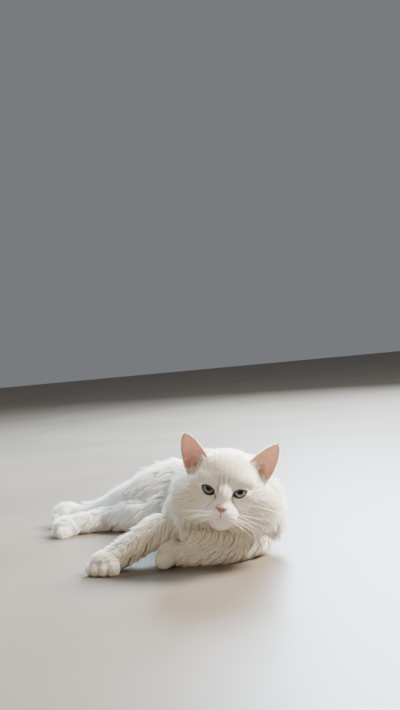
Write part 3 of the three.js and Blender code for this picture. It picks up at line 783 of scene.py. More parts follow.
def tuft_piece(name, roots, outs, owner, path, width, material, softness):
    """One mesh of many tufts, each with its small patch on the skin's map. Its normals are
    across * (1 - softness) + outs * softness, at length one."""
    points, faces = spikes(path, outs, width)
    piece = make_piece(name, points, faces, material, "fur")
    per_tuft = len(points) // len(path)
    middle = np.concatenate([np.repeat(path[:, :-1], 3, 1), path[:, -1:]], 1)
    across = unit(points.reshape(len(path), per_tuft, 3) - middle)
    soft = unit(across * (1 - softness) + outs[:, None] * softness)
    piece.data.normals_split_custom_set_from_vertices(soft.reshape(-1, 3))
    tuft, part = np.divmod(read(piece.data.loops, "vertex_index"), per_tuft)
    patch = stacked((part // 3) / (per_tuft / 3) - 0.5, (part % 3) / 2 - 0.5) * PATCH
    set_map(piece.data, on_map(sleeve_place(roots, owner), owner)[tuft] + patch)
    print(f"{name}: {len(path)} tufts, {sum(len(f) * (f.shape[1] - 2) for f in faces)} triangles")


# %% [markdown]
# ## Shader maths as Python
#
# A finish is a graph of nodes. Written out node by node it is hard to read, so a small class wraps a
# socket, and the usual operators on it add Math nodes. Whatever varies over a surface goes only to
# the colour, the roughness or the bump, and numbers that don't vary are set on the shader itself.

# %% Sockets in expressions
class Value:
    """A number that varies over a surface. Operators on it add Math nodes to its material."""

    def __init__(self, finish, socket):
        self.finish, self.socket = finish, socket

    def math(self, operation, *others):
        inputs = dict(enumerate((self, *others)))
        return self.finish.node("ShaderNodeMath", {"operation": operation}, inputs)

    def __add__(self, other): return self.math("ADD", other)
    def __sub__(self, other): return self.math("SUBTRACT", other)
    def __mul__(self, other): return self.math("MULTIPLY", other)
    def __truediv__(self, other): return self.math("DIVIDE", other)
    def __pow__(self, other): return self.math("POWER", other)
    def __rsub__(self, other): return (self * -1) + other
    __radd__, __rmul__ = __add__, __mul__

    def ramp(self, low, high):
        """0 below low, 1 above high, smooth between."""
        inputs = {"Value": self, "From Min": low, "From Max": high}
        return self.finish.node("ShaderNodeMapRange", {"interpolation_type": "SMOOTHSTEP"}, inputs)

    def bell(self, middle, width):
        """1 at the middle, falling to 0 at a distance of width from it."""
        return 1 - ((self - middle) / width).math("ABSOLUTE").ramp(0, 1)


class Finish:
    """A material with one Principled shader, whose constant sockets are given as numbers."""

    def __init__(self, name, **constants):
        self.material = bpy.data.materials.new(name)
        self.material.use_nodes = True
        self.nodes, self.links = self.material.node_tree.nodes, self.material.node_tree.links
        self.shader = self.nodes["Principled BSDF"]
        for socket, value in constants.items():
            self.shader.inputs[socket.replace("_", " ")].default_value = value

    def node(self, kind, settings={}, inputs={}, output=0):
        """Any node: its type, its settings, and the values or links of its sockets."""
        made = adjusted(self.nodes.new(kind), **settings)
        for key, value in inputs.items():
            self.plug(value, made.inputs[key])
        return Value(self, made.outputs[output])

    def plug(self, value, socket):
        if isinstance(value, Value):
            self.links.new(value.socket, socket)
        else:
            socket.default_value = value

    def place(self):
        return self.node("ShaderNodeTexCoord", output="Object")

    def noise(self, scale, detail=2.0):
        inputs = {"Vector": self.place(), "Scale": scale, "Detail": detail}
        return self.node("ShaderNodeTexNoise", {}, inputs)

    def mix(self, share, one, two):
        """One colour where the share is 0 and the other where it is 1."""
        colours = [(*c, 1) if isinstance(c, tuple) else c for c in (one, two)]
        return self.node("ShaderNodeMix", {"data_type": "RGBA"}, dict(zip((0, 6, 7), (share, *colours))), 2)

    def mottled(self, scale, detail, one, two):
        """Two colours that give way to one another in soft spots."""
        return self.mix(self.noise(scale, detail).ramp(0.3, 0.7), one, two)

    def colour(self, value):
        self.plug(value, self.shader.inputs["Base Color"])
        return self

    def bump(self, height, strength, depth):
        inputs = {"Height": height, "Strength": strength, "Distance": depth}
        self.plug(self.node("ShaderNodeBump", {}, inputs), self.shader.inputs["Normal"])
        return self

    def in_frame(self, centre, turn):
        """x, y and z of a turned frame round a centre of the drawing, as three values in millimetres."""
        angles = Matrix([[float(v) for v in row] for row in turn]).to_euler("XYZ")
        inputs = {"Vector": self.place(), "Location": (centre + MOVE) * MM, "Rotation": angles,
                  "Scale": (MM,) * 3}
        local = self.node("ShaderNodeMapping", {"vector_type": "TEXTURE"}, inputs)
        split = self.node("ShaderNodeSeparateXYZ", {}, {"Vector": local})
        return [Value(self, socket) for socket in split.socket.node.outputs]


# %% [markdown]
# ## White fur
#
# The coat is white with a breath of cream, warmer at the front and whiter towards the rump: partly the
# coat's own tone, partly painted warm shade on the forebody and painted light on the rump. Fine beige lines
# run up the forehead, and the inner corners of the eyes are darker: a tear stain, with painted shade beside
# the bridge of the nose. The skin under it has the same marks, so a gap between tufts doesn't show. To place
# those marks the finish needs the head's own frame: a Mapping node of type Texture moves and turns the cat's
# frame back to it, in millimetres.

# %% The marks of the coat, shared by skin and tufts
WHITE, CREAM = (0.95, 0.935, 0.90), (0.93, 0.87, 0.735)
BEIGE, TEAR_STAIN_AND_SHADE = (0.50, 0.40, 0.29), (0.14, 0.10, 0.09)


def in_head(finish):
    """x, y and z of the head's own frame, in millimetres."""
    return finish.in_frame(HEAD_CENTRE, HEAD_TURN)


def coat_colour(finish):
    """White to cream by slow and fine noise, whiter towards the rump (partly painted shade in front and
    painted light behind), with beige lines on the forehead and eye corners darkened by a tear stain and
    painted shade.
    """
    x, y, z = in_head(finish)
    tone = finish.noise(14, 3) * 0.6 + finish.noise(420, 1) * 0.4
    # cream in front and whiter towards the rump: partly the coat's own tone, partly painted shade in front
    # and painted light behind
    coat = finish.mix((tone + 0.12 - y.ramp(60, 220) * 0.3).ramp(0.35, 0.7), WHITE, CREAM)
    front = 1 - y.ramp(-40, -22)
    lines = (x * 0.85 + 1.4 + finish.noise(60, 1) * 2.2).math("SINE").ramp(-0.4, 0.7)
    forehead = z.bell(14.5, 19).ramp(0, 0.6) * x.bell(0, 22).ramp(0, 0.7) * front
    coat = finish.mix(lines * forehead, coat, BEIGE)
    # the inner eye corners are darkened: a tear stain, and painted shade beside the bridge of the nose
    corner = x.math("ABSOLUTE").bell(11.5, 3.5) * z.bell(-3.5, 7) * front
    return finish.mix(corner * 0.85, coat, TEAR_STAIN_AND_SHADE)


fur = Finish("white_fur", Roughness=0.8, Specular_IOR_Level=0.25, Sheen_Weight=0.25, Sheen_Roughness=0.5)
fur.colour(coat_colour(fur))

hide = Finish("skin_under_fur", Roughness=0.85, Specular_IOR_Level=0.2)
hide.colour(coat_colour(hide)).bump(hide.noise(500, 2), 0.5, 0.0008)
skin.data.materials.append(hide.material)
print("finishes:", fur.material.name, hide.material.name)

# %% [markdown]
# ## The coat
#
# Roots are spread evenly over the skin's triangles: a running sum of area times density is cut at even
# steps. The density is high where tufts are small, on the face and feet, and low where the cat lies on
# its coat. Places where no fur grows are left out: the eyes, the nose, and the line of the mouth.

# %% The kinds of coat
KINDS = {  # tufts per square millimetre, width, angle at the root in degrees, length for a millimetre
    # of depth; then a tuft's steps, tufts that share a leader, how far they lean to it, softness
    "face": (0.90, 0.75, 24, 2.6, 2, 9, 0.2, 0.5),
    "cheeks": (0.52, 1.1, 40, 1.9, 3, 12, 0.3, 0.5),
    "ruff": (0.32, 1.4, 44, 1.9, 4, 18, 0.42, 0.5),
    "trunk": (0.20, 1.5, 42, 1.9, 3, 20, 0.45, 0.5),
    "legs": (0.265, 1.3, 40, 2.15, 3, 18, 0.42, 0.5),
    "feet": (0.62, 1.1, 34, 1.8, 2, 9, 0.3, 0.2),
    "plume": (0.43, 1.55, 60, 1.9, 4, 16, 0.4, 0.5),
}
KIND_OF_FORM = {"torso": "trunk", "neck": "ruff", "chest": "ruff", "tail": "plume"}
SHARE = 1.0
FACE_DEPTH, FOOT_REACH = 5, 21
kind_names, kind_sizes = list(KINDS), np.array(list(KINDS.values()))
owner_kinds = np.array([kind_names.index(name) for name in [
    *(KIND_OF_FORM.get(form.name, "legs") for form in FORMS), "cheeks"]])


def gap_to_toes(points):
    """The distance to the middle of the nearest toe, or palm of a forefoot."""
    return np.min([np.linalg.norm(points - middle, axis=1)
                   for middle, sizes, _ in TOES if sizes[0] < LONG_PALM], axis=0)


def kind_at(points, owner):
    """The kind of coat at points: by form, but the face in front of the head and the feet round the toes."""
    kind = owner_kinds[owner]
    short = head_coat(unit(to_head(points) - MIDDLE)) < FACE_DEPTH
    kind[(owner == HEAD) & short] = kind_names.index("face")
    kind[(gap_to_toes(points) < FOOT_REACH) & (owner != HEAD)] = kind_names.index("feet")
    return kind


# %% Spread the roots over the skin
UNDER_SHARE = 0.25  # the share of tufts left where the cat lies on its coat
corner_a, corner_b, corner_c = (skin_points[skin_triangles[:, i]] for i in range(3))
cross = np.cross(corner_b - corner_a, corner_c - corner_a)
area = np.linalg.norm(cross, axis=1) / 2
middles = (corner_a + corner_b + corner_c) / 3
density = kind_sizes[kind_at(middles, coat_at(middles)[3]), 0] * SHARE
facing_floor = (cross[:, 2] / (2 * area) < -0.6) & (middles[:, 2] < 5)
density *= np.where(facing_floor, UNDER_SHARE, 1)
running = np.cumsum(area * density)
count = int(running[-1])
hits = (np.arange(count) + chance.uniform(0, 1, count)) * (running[-1] / count)
triangle = np.minimum(np.searchsorted(running, hits), len(area) - 1)
s, t = chance.uniform(0, 1, (2, count))
s, t = np.where(s + t > 1, 1 - s, s)[:, None], np.where(s + t > 1, 1 - t, t)[:, None]
roots = corner_a[triangle] * (1 - s - t) + corner_b[triangle] * s + corner_c[triangle] * t
outs = unit(skin_normals[skin_triangles[triangle]].mean(1))
print("roots:", len(roots), "on", round(area.sum() / 100), "square centimetres")

# %% Keep the eyes, the nose and the mouth clear
LID_GAP, MOUTH_GAP, FURROW_GAP = 0.6, 0.9, 0.8
BARE_NOSE = [9.5, 9, 7.2]
FACE_Y, MUZZLE_Y, LIP_Y = -24, -38, -44  # places in front of these, in the head's frame
local = to_head(roots)
to_almond = np.minimum(*(-inside_almond(local, side) for side in SIDES.values()))
to_nose = np.linalg.norm((local - NOSE_PLACE) / BARE_NOSE, axis=1)
clear = ~((to_almond < LID_GAP) & (local[:, 1] < FACE_Y)) & (to_nose > 1)
clear &= ~((distance_to(MOUTH, local) < MOUTH_GAP) & (local[:, 1] < MUZZLE_Y))
clear &= ~((distance_to(FURROW, local) < FURROW_GAP) & (local[:, 1] < LIP_Y))
roots, outs, local, to_almond, to_nose = (each[clear] for each in (roots, outs, local, to_almond, to_nose))
_, _, depth, owner = coat_at(roots)
kind = kind_at(roots, owner)
print("roots left:", len(roots))

# %% [markdown]
# A tuft is about twice as long as its coat is deep, because it lies down. The coat is longest on the
# belly, under the right legs and on the mane, and shortest by the eyes, the mouth and the toes. On the
# head it lies flatter than elsewhere.

# %% Give each tuft its sizes
def of_kind(name):
    """Which tufts are of a kind of coat."""
    return kind == kind_names.index(name)


def of_form(*names):
    """Which tufts grow on some of the forms."""
    return np.isin(owner, [i for i, form in enumerate(FORMS) if form.name in names])


def capped(length, where, most):
    """The length, but no more than the most where a condition holds."""
    return np.where(where, np.minimum(length, most), length)


to_toes = gap_to_toes(roots)
depth = np.minimum(depth, 3.0 + np.maximum(to_toes - 10, 0) * 0.22)
belly = of_form("torso") & (roots[:, 0] < 12) & (roots[:, 2] < 60) & (roots[:, 1] < 60)
jaw = of_kind("cheeks") & (local[:, 2] < -12)
under_leg = of_form("foreleg_right", "hindleg_right") * smoothstep(-outs[:, 2], -0.3, 0.3)
under_leg = under_leg * (0.4 + 1.6 * smoothstep(to_toes, 30, 80))
upper = of_form("torso", "hindleg_right") & (outs[:, 2] > 0.1)
mane = of_kind("ruff") & (outs[:, 1] > -0.2)
far_side = of_kind("ruff") * smoothstep(outs[:, 0], 0.1, 0.8)
hind_foot = of_kind("feet") & (roots[:, 1] > 0)
longer = (1 + 0.6 * belly + 0.2 * jaw + under_leg + 0.3 * upper + 0.08 * mane - 0.25 * far_side
          + 0.5 * hind_foot)

CROWN_Z, CROWN_LENGTH = 22, 15
_, width, lift, reach = kind_sizes[kind, :4].T
nape = smoothstep(local[:, 2], -10, 20) * smoothstep(local[:, 1], -5, 15)
length = np.maximum(depth, 1.5) * reach * longer * chance.uniform(0.65, 1.15, len(roots))
length = capped(length, local[:, 2] > CROWN_Z, CROWN_LENGTH) * (1 - 0.1 * nape)
near_eye = (local[:, 1] < -20) & of_kind("face")
length = capped(length, near_eye, 1.6 + np.maximum(to_almond, 0) * 0.9)
near_mouth = np.minimum(distance_to(MOUTH, local), (to_nose - 1) * 8)
length = capped(length, local[:, 1] < MUZZLE_Y, 1.5 + np.maximum(near_mouth, 0) * 0.8)
width = width * chance.uniform(0.75, 1.25, len(roots))
flatter = np.where(owner == HEAD, 0.5 + 0.5 * smoothstep(depth, 4, 19), 1)
lift = np.radians(lift * flatter * (1 - 0.35 * nape) * chance.uniform(0.6, 1.5, len(roots)))
print("length of the tufts from", length.min().round(1), "to", length.max().round(1), "mm")

# %% Grow the coat and lay it into pieces
LARGEST = 190000  # triangles in one piece
WAVE = 0.14
for name, (*_, segments, every, lean, softness) in KINDS.items():
    mine = of_kind(name)
    path = grow(roots[mine], outs[mine], length[mine], lift[mine], WAVE, segments)
    path = gather(path, owner[mine], every, lean)
    per_tuft = (segments - 1) * 6 + 4
    parts = math.ceil(mine.sum() * per_tuft / LARGEST)
    order = np.argsort(roots[mine][:, 1], kind="stable")
    for i, chosen in enumerate(np.array_split(order, parts)):
        label = f"coat_{name}" if parts == 1 else f"coat_{name}_{i + 1}"
        tuft_piece(label, roots[mine][chosen], outs[mine][chosen], owner[mine][chosen], path[chosen],
                   width[mine][chosen], fur.material, softness)

# %% [markdown]
# ## Ears
#
# An ear is a crescent that narrows to a rounded tip: its cup opens forwards and outwards. The front is bare
# pink skin, darker down in the cup and paler towards the tip: partly its own tone, partly painted shade in
# the cup and painted light shining through the ear higher up. The back is furred. Short tufts cover the back
# and the rim, fine down lies in the cup, and longer white tufts stand at its inner root and foot.

# %% The shape of an ear
EAR_HEIGHT, EAR_WIDTH, EAR_THICK, EAR_SUNK, EAR_CUP = 47, 41, 2.6, 14, 9
EAR_ROOT = np.array([44, -2, 31])
EAR_BACK, EAR_TURN, EAR_TILT = (math.radians(a) for a in (-6, 12, 32))
EAR_ROWS, EAR_COLUMNS = 48, 72


def ear_turn(side):
    """Leaned back, turned out about its height, and tilted out from the head, in that order."""
    tilt, turn = (Matrix.Rotation(side * a, 3, axis) for a, axis in ((EAR_TILT, "Y"), (EAR_TURN, "Z")))
    return np.array(tilt @ turn @ Matrix.Rotation(EAR_BACK, 3, "X"))


def ear_point(side, rise, turn):
    """A point at a share of the ear's height, turned round its section: an arch of
    y = cup * (0.4 - x * x), with x from -1 to 1, plus half its thickness times the sine of the turn.
    Negative turns face the front."""
    across, narrow = np.cos(turn), (1 - rise**2) ** 0.6
    cup = EAR_CUP * (1 - rise) ** 0.5 + 1.5
    thick = EAR_THICK / 2 * (0.4 + 0.6 * narrow)
    local = stacked(EAR_WIDTH / 2 * narrow * across, cup * (0.4 - across**2) + thick * np.sin(turn),
                    rise * (EAR_HEIGHT + EAR_SUNK) - EAR_SUNK)
    return from_head(local @ ear_turn(side).T + mirrored(EAR_ROOT, side))


def mark(piece, name, values):
    """A number for each point, which a finish can read by name."""
    piece.data.attributes.new(name, "FLOAT", "POINT").data.foreach_set("value", values.astype(np.float32))


# %% The skin of the ears
ear_finish = Finish("ear_skin", Roughness=0.55, Specular_IOR_Level=0.35, Subsurface_Weight=0.25,
                    Subsurface_Scale=0.002)
high, bare = (ear_finish.node("ShaderNodeAttribute", {"attribute_name": name}, output="Fac")
              for name in ("rise", "bare"))
veins = ear_finish.noise(90, 3).ramp(0.42, 0.62)
# darker low in the cup and paler towards the tip: partly the skin's own tone, partly painted shade in the
# cup and painted light shining through the ear
pink = ear_finish.mix((high + veins * 0.16).ramp(0.12, 0.75), (0.36, 0.13, 0.12), (0.86, 0.52, 0.40))
pink = ear_finish.mix(high.ramp(0.7, 1.0) * 0.8, pink, (0.94, 0.66, 0.54))
ear_finish.colour(ear_finish.mix(bare.ramp(0.1, 0.5), (0.93, 0.90, 0.85), pink))
ear_finish.bump(ear_finish.noise(260, 2) + veins, 0.35, 0.0006)

ear_rise = np.linspace(0, 1, EAR_ROWS)[:, None]
ear_around = circle(EAR_COLUMNS)
for name, side in SIDES.items():
    ear_shape = closed_grid(ear_point(side, ear_rise, ear_around))
    ear = make_piece(f"ear_shell_{name}", *ear_shape, ear_finish.material, "ear_skin")
    mark(ear, "rise", np.append(np.repeat(ear_rise[1:-1, 0], EAR_COLUMNS), [0, 1]))
    mark(ear, "bare", np.append(np.tile(-np.sin(ear_around), EAR_ROWS - 2), [1, 1]) * 2)
    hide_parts(f"ear_{name}")
print("ears:", 2 * EAR_ROWS * EAR_COLUMNS, "points")

# %% The ears' fur
FROM_ABOVE, FROM_FRONT = [0, -0.3, 0.95], [0, -0.8, 0.6]  # ways that thin hairs are shaded as facing
EAR_FUR = {  # how many, lowest and highest rise, first and last turn, length, width, aside, out, shading
    "back": (1500, 0.12, 0.97, 0.1, 3.04, 6.5, 0.8, 0.0, 0.10, None),
    "outer_rim": (800, 0.2, 0.985, -0.3, 0.12, 3.8, 0.5, 0.28, 0.15, FROM_ABOVE),
    "inner_rim": (800, 0.2, 0.985, 3.02, 3.44, 3.8, 0.5, -0.28, 0.15, FROM_ABOVE),
    "down": (500, 0.25, 0.9, -2.7, -0.45, 3.2, 0.26, 0.0, 0.16, FROM_FRONT),
    "long": (150, 0.03, 0.22, 3.2, 4.6, 15, 0.42, 0.5, 0.45, FROM_FRONT),
    "foot": (170, 0.0, 0.13, 4.3, 6.2, 9, 0.45, 0.1, 0.5, FROM_FRONT),
}


def strands(roots, ways, bend, length, points=4):
    """Centre lines root + length * (t * way + t * t * bend), with t from 0 to 1."""
    t = np.linspace(0, 1, points)[None, :, None]
    return roots[:, None] + length[:, None, None] * (t * ways[:, None] + t**2 * bend[:, None])


def ear_fur(side, count, lowest, highest, first, last, length, width, aside, away, light):
    """Centre lines, shading ways, widths and softness of one region of an ear's fur. A hair leaves the
    ear along up + aside * sideways + away * out."""
    count = int(count * SHARE)
    rise = chance.uniform(lowest**0.8, highest**0.8, count) ** 1.25
    turn = chance.uniform(first, last, count)
    turn = turn if side == 1 else math.pi - turn
    here = ear_point(side, rise, turn)
    up = unit(ear_point(side, rise + 0.01, turn) - here)
    out = unit(np.cross(unit(ear_point(side, rise, turn + 0.02) - here), up))
    sideways = HEAD_TURN @ [1, 0, 0] * side
    ways = unit(up + aside * sideways + away * out + chance.normal(0, 0.12, (count, 3)))
    length = length * chance.uniform(0.7, 1.2, count)
    lines = strands(here - out * 0.3, ways, -0.12 * out + chance.normal(0, 0.05, (count, 3)), length)
    facing = np.broadcast_to(HEAD_TURN @ light, out.shape) if light else out
    softness = np.full((count, 1, 1), 0.6 if light else 0.1)
    return lines, facing, width * chance.uniform(0.7, 1.2, count), softness


for name, side in SIDES.items():
    regions = [ear_fur(side, *row) for row in EAR_FUR.values()]
    path, facing, hair_width, softness = (np.concatenate(each) for each in zip(*regions))
    tuft_piece(f"ear_fur_{name}", path[:, 0], facing, np.full(len(path), HEAD), path, hair_width,
               fur.material, softness)

# %% [markdown]
# ## Eyes
#
# The cat looks into the camera, so each eyeball is turned that way from its place in the head. A shader
# draws the iris and the pupil in the eyeball's own frame, and a clear coat over all of it makes it wet.
# Dark rims run along the lids, and from the inner corner a dark line goes down beside the nose. The upper
# rim is drawn thick, so that it also stands for painted shade cast by the upper lid.

# %% The eyeballs
CAMERA_PLACE = np.array([30, -1660, 360])
EYE_LOWERED = 1  # degrees that the eyes look below the camera
PUPIL_RADIUS = 4.7
CORNEA_RISE, CORNEA_ANGLE = 0.8, 0.55
EYE_BACK = 2.0  # the eyeball is cut flat behind


def gaze_turn(side):
    """The turn that points an eyeball's -y, in the head's frame, at the camera."""
    way = Vector(to_head(CAMERA_PLACE) - mirrored(EYE_CENTRE, side))
    turn = way.to_track_quat("-Y", "Z").to_matrix()
    return np.array(turn @ Matrix.Rotation(math.radians(EYE_LOWERED), 3, "X"))


def eye_finish(side):
    """A grey-blue iris with fine fibres, a dark round pupil, and a dark edge, all by distance in mm from
    the axis of the eyeball."""
    finish = Finish(f"eye_{side}", Roughness=0.4, Specular_IOR_Level=0.0, Coat_Weight=1.0,
                    Coat_Roughness=0.02, Coat_IOR=1.3)
    x, _, z = finish.in_frame(from_head(mirrored(EYE_CENTRE, side)), HEAD_TURN @ gaze_turn(side))
    away = (x * x + z * z) ** 0.5
    angle = z.math("ARCTAN2", x)
    fibres = (angle * 34 + finish.noise(220, 2) * 9).math("SINE") * 0.5 + finish.noise(500, 2)
    iris = finish.mix(away.ramp(3.6, 8.2), (0.21, 0.235, 0.265), (0.115, 0.135, 0.17))
    iris = finish.mix(fibres.ramp(0.1, 1.1) * 0.4, iris, (0.34, 0.37, 0.41))
    iris = finish.mix((away + finish.noise(160, 1) * 0.8).ramp(7.6, 9.3), iris, (0.025, 0.022, 0.03))
    outside_pupil = away.ramp(PUPIL_RADIUS - 0.35, PUPIL_RADIUS + 0.25)
    return finish.colour(finish.mix(outside_pupil, (0.004, 0.004, 0.006), iris))


unit_ball = ball(40, 56)
from_axis = np.arccos(np.clip(unit_ball[..., 2], -1, 1))
eye_reach = EYE_RADIUS + CORNEA_RISE * np.exp(-((from_axis / CORNEA_ANGLE) ** 4))
eye_grid = unit_ball[..., [0, 2, 1]] * [1, -1, 1] * eye_reach[..., None]
eye_grid[..., 1] = np.minimum(eye_grid[..., 1], EYE_BACK)
for name, side in SIDES.items():
    eye_shape = closed_grid(from_head(eye_grid @ gaze_turn(side).T + mirrored(EYE_CENTRE, side)))
    eyeball = make_piece(f"eyeball_{name}", *eye_shape, eye_finish(side).material, "eye")
    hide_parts(f"eye_{name}")
print("eyeballs of", 2 * EYE_RADIUS, "mm, pupils of", 2 * PUPIL_RADIUS, "mm")

# %% Lines that lie on the face
tree = BVHTree.FromObject(skin, bpy.context.evaluated_depsgraph_get())


def on_face(line, out):
    """The skin behind places [x, z] of the head's frame, seen from in front, and moved out along the
    normal."""
    ahead = Vector(HEAD_TURN @ [0, 1, 0])
    found = []
    for x, z in line:
        place, normal, _, _ = tree.ray_cast(Vector((from_head([x, -100, z]) + MOVE) * MM), ahead)
        found.append(np.array(place) / MM - MOVE + np.array(normal) * out)
    return np.array(found)


def tube(line, radius, sides=10, end=0.15):
    """A closed tube round a line. The radius swells as the square root of a sine and ends small."""
    along = unit(np.gradient(line, axis=0))
    side = unit(np.cross(along, HEAD_TURN @ [0.03, -1, 0.05]))
    up = np.cross(side, along)
    t = np.linspace(0, 1, len(line))
    swell = np.maximum(np.sin(math.pi * t) ** 0.5, end)
    turn = circle(sides)
    ring = side[:, None] * np.cos(turn)[:, None] + up[:, None] * np.sin(turn)[:, None]
    body = line[:, None] + ring * (radius * swell)[:, None, None]
    first, last = (np.repeat(line[[i], None], sides, 1) for i in (0, -1))
    return closed_grid(np.concatenate([first, body, last]))


def lid_line(edge, side, radius):
    """An almond edge laid on a sphere round the eye."""
    x, z = edge[:, 0], edge[:, 1]
    y = -np.sqrt(np.maximum(radius**2 - x**2 - z**2, 4))
    return from_head(stacked(x * side, y, z) + mirrored(EYE_CENTRE, side))


# %% Rims of the lids, and lines of the mouth
# the upper rim is thicker than the real rim: it also stands for painted shade cast by the upper lid
UPPER_RIM_AND_SHADE, LOWER_RIM, DUCT_RIM, LIP_RIM, FURROW_RIM = 1.5, 0.8, 0.55, 0.95, 1.15  # radii
DUCT = [2.2, -4.8]  # from the inner corner, towards the nose and down
rim_finish = Finish("lid_rims", Roughness=0.4, Specular_IOR_Level=0.5)
x, y, z = in_head(rim_finish)
warm = rim_finish.mix(z.ramp(-3, 7), (0.24, 0.12, 0.10), (0.05, 0.035, 0.035))
rim_finish.colour(rim_finish.mix(x.ramp(-3, 3), (0.03, 0.026, 0.03), warm))
rim_finish.bump(rim_finish.noise(900, 2), 0.3, 0.0004)
for name, side in SIDES.items():
    corner = np.array([side * (EYE_CENTRE[0] + INNER_CORNER[0]), EYE_CENTRE[2] + INNER_CORNER[1]])
    duct = corner + np.linspace(0, 1, 9)[:, None] * [-side * DUCT[0], DUCT[1]]
    parts = [
        tube(lid_line(UPPER_LID, side, EYE_RADIUS + LID - 0.2), UPPER_RIM_AND_SHADE),
        tube(lid_line(LOWER_LID, side, EYE_RADIUS + LID - 0.5), LOWER_RIM),
        tube(on_face(duct, 0.1), DUCT_RIM),
    ]
    make_piece(f"lid_rims_{name}", *joined(parts), rim_finish.material, "nose_skin")

lip_finish = Finish("lips", Roughness=0.5, Specular_IOR_Level=0.4)
lip_finish.colour(lip_finish.mottled(200, 2, (0.40, 0.22, 0.19), (0.52, 0.31, 0.27)))
lips = joined([tube(on_face(MOUTH[6:-6:3], 0.3), LIP_RIM), tube(on_face(FURROW[::2], 0.3), FURROW_RIM)])
make_piece("mouth_line", *lips, lip_finish.material, "nose_skin")
print("the mouth is", MOUTH_WIDTH, "mm wide")

# %% [markdown]
# ## Nose
#
# The nose pad is wide above and comes to a point below. Its nostrils are commas at the lower sides, with
# painted shade in them, a furrow divides its lower half, and its skin is finely pebbled.

# %% The nose pad
NOSE_SIZE = [10, 7.2, 6.3]  # half width, depth and height
NOSTRIL = np.array([4.9, -0.4])
NOSTRIL_DEPTH, NOTCH_DEPTH = 3.6, 0.7
nose_ball = ball(64, 80)
nx, ny, nz = np.moveaxis(nose_ball, -1, 0)
wide = NOSE_SIZE[0] * (0.36 + 0.64 * smoothstep(nz, -1, 0.3))
pad = stacked(nx * wide, ny * NOSE_SIZE[1], nz * NOSE_SIZE[2])
aside = np.abs(pad[..., 0]) - NOSTRIL[0]
below = pad[..., 2] - NOSTRIL[1] + 0.35 * aside
pit = np.exp(-((aside / 2.3) ** 2) - (below / 1.15) ** 2)
notch = ridge(pad[..., 0], 0, 0.7) * (1 - smoothstep(pad[..., 2], -1, 2))
pad[..., 1] += np.where(ny < 0, NOSTRIL_DEPTH * pit + NOTCH_DEPTH * notch, 0)

nose_finish = Finish("nose_skin", Roughness=0.42, Specular_IOR_Level=0.5, Subsurface_Weight=0.15,
                     Subsurface_Scale=0.001)
x, y, z = in_head(nose_finish)
hole = ((x.math("ABSOLUTE") - NOSTRIL[0]) / 2.7) ** 2 + ((z - NOSE_PLACE[2] - NOSTRIL[1]) / 1.9) ** 2
tone = nose_finish.mottled(150, 2, (0.31, 0.15, 0.14), (0.43, 0.23, 0.215))
# the nostrils are painted near black: painted shade down in their pits
nose_finish.colour(nose_finish.mix(1 - hole.ramp(0.15, 1.3), tone, (0.10, 0.035, 0.035)))
pebbles = nose_finish.node("ShaderNodeTexVoronoi", {}, {"Vector": nose_finish.place(), "Scale": 900.0})
nose_finish.bump(pebbles, 0.35, 0.0004)
nose = make_piece("nose_pad", *closed_grid(from_head(pad + NOSE_PLACE)), nose_finish.material, "nose_skin")
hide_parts("nose")
print("the nose is", round(2 * wide.max(), 1), "mm wide")

# %% [markdown]
# ## Whiskers
#
# Three rows of whiskers grow on each side of the muzzle, and a few longer hairs stand over each eye.
# They are stiff, so they leave the skin straight, and only bend down a little towards the tip.

# %% Whiskers and brow hairs
WHISKER_ROWS, IN_A_ROW, BROW_HAIRS = 3, 4, 4
WHISKER_RADIUS, BROW_RADIUS = 0.28, 0.16
HAIR_POINTS = 12
whisker_finish = Finish("whiskers", Roughness=0.35, Specular_IOR_Level=0.5)
whisker_finish.colour(whisker_finish.mottled(80, 1, (0.92, 0.90, 0.86), (0.97, 0.96, 0.93)))
hair_t = np.linspace(0, 1, HAIR_POINTS)


def hair(root, way, bend, length, radius):
    """A round tube along root + length * (t * way + t * t * bend), which thins to 0.15 of its radius."""
    t = hair_t[:, None]
    line = on_face([root], -0.4)[0] + length * (t * way + t**2 * bend) @ HEAD_TURN.T
    return tube(line, radius * (1 - 0.85 * hair_t), 6, 1.0)


for name, side in SIDES.items():
    hairs = []
    for row in range(WHISKER_ROWS):
        for place in range(IN_A_ROW):
            root = [side * (8.5 + 3.0 * place), -21 - 3.4 * row - 0.6 * place]
            way = unit(np.array([side, -0.5 + 0.22 * place, 0.05 - 0.17 * row]) + chance.normal(0, 0.05, 3))
            bend = np.array([0, 0.30, -0.22]) + chance.normal(0, 0.05, 3)
            whisker = 62 - 5 * abs(place - 2) - 5 * row + chance.uniform(-6, 6)
            hairs.append(hair(root, way, bend, whisker, WHISKER_RADIUS))
    for place in range(BROW_HAIRS):
        root = [side * (14 + 4 * place), 17.5 + 1.2 * place]
        way = unit(np.array([side * (0.15 + 0.3 * place), -0.75, 0.8]) + chance.normal(0, 0.05, 3))
        hairs.append(hair(root, way, np.array([0, 0.45, 0.1]), 27 - 3 * place, BROW_RADIUS))
    make_piece(f"whiskers_{name}", *joined(hairs), whisker_finish.material, "fur")

# %% [markdown]
# ## The stage
#
# A plain floor, and the soft light of a studio: a wide cool light behind the cat on the right of the
# view, a weaker bluish one behind on the left, a warm one from the right, and a weak warm one in
# front. The camera stands at the photograph's place, low and almost level, and leans a little.

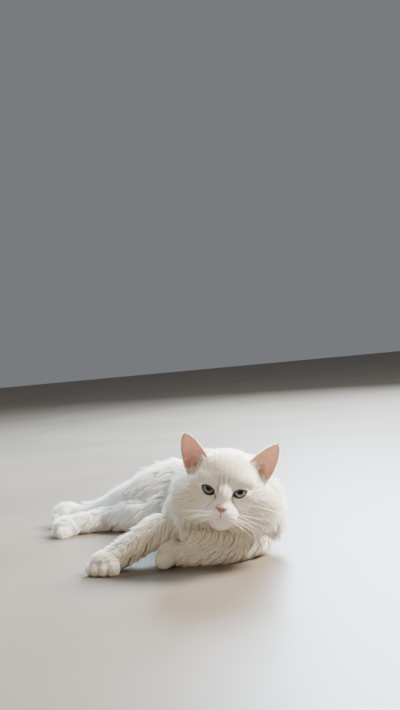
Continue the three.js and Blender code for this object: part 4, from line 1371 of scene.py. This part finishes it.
# %% The floor and the world
FLOOR_REACH = 6.0
floor_mesh = bpy.data.meshes.new("floor")
floor_corners = [(x * FLOOR_REACH, y * FLOOR_REACH, 0) for x, y in ((-1, -1), (1, -1), (1, 1), (-1, 1))]
floor_mesh.from_pydata(floor_corners, [], [(0, 1, 2, 3)])
pale = Finish("pale_floor", Roughness=0.45, Specular_IOR_Level=0.3)
pale.colour(pale.mottled(3, 2, (0.155, 0.125, 0.098), (0.18, 0.146, 0.114)))
floor_mesh.materials.append(pale.material)
new_object("floor", floor_mesh)

scene.world = bpy.data.worlds.new("soft_studio")
scene.world.use_nodes = True
world_colour, world_strength, *_ = scene.world.node_tree.nodes["Background"].inputs
world_colour.default_value, world_strength.default_value = (0.80, 0.83, 0.88, 1), 0.24

# %% Lights and camera
LIGHTS = {  # place, the point aimed at, size, power and colour
    "back_right": ((0.8, 2.0, 1.4), (-0.05, 0.1, 0.1), 1.2, 420, (0.66, 0.83, 1.0)),
    "back_left": ((-1.5, 1.2, 1.6), (-0.15, 0.15, 0.05), 1.0, 90, (0.55, 0.78, 1.0)),
    "right_side": ((1.5, -0.1, 1.5), (0.1, -0.2, 0.1), 0.8, 270, (1.0, 0.93, 0.80)),
    "front_fill": ((-0.6, -2.4, 1.3), (0, -0.2, 0.1), 1.6, 24, (1.0, 0.80, 0.57)),
}
for name, (place, aim, size, power, colour) in LIGHTS.items():
    light = adjusted(bpy.data.lights.new(name, "AREA"), size=size, energy=power, color=colour)
    turn = (Vector(aim) - Vector(place)).to_track_quat("-Z", "Y").to_euler()
    adjusted(new_object(name, light), location=place, rotation_euler=turn)

CAMERA_PITCH, CAMERA_ROLL = math.radians(1.84), math.radians(5.28)
FOCAL_PIXELS, IMAGE_HEIGHT, SENSOR = 1000, 710, 36
camera = new_object("camera", adjusted(bpy.data.cameras.new("camera"), sensor_fit="AUTO",
                                       sensor_width=SENSOR, lens=FOCAL_PIXELS / IMAGE_HEIGHT * SENSOR))
camera.matrix_world = (
    Matrix.Translation((CAMERA_PLACE + MOVE) * MM)
    @ Matrix.Rotation(math.pi / 2 - CAMERA_PITCH, 4, "X")
    @ Matrix.Rotation(-CAMERA_ROLL, 4, "Z")
)
scene.camera = camera
print("camera at", tuple(round(v, 3) for v in camera.location), "lens", round(camera.data.lens, 1), "mm")
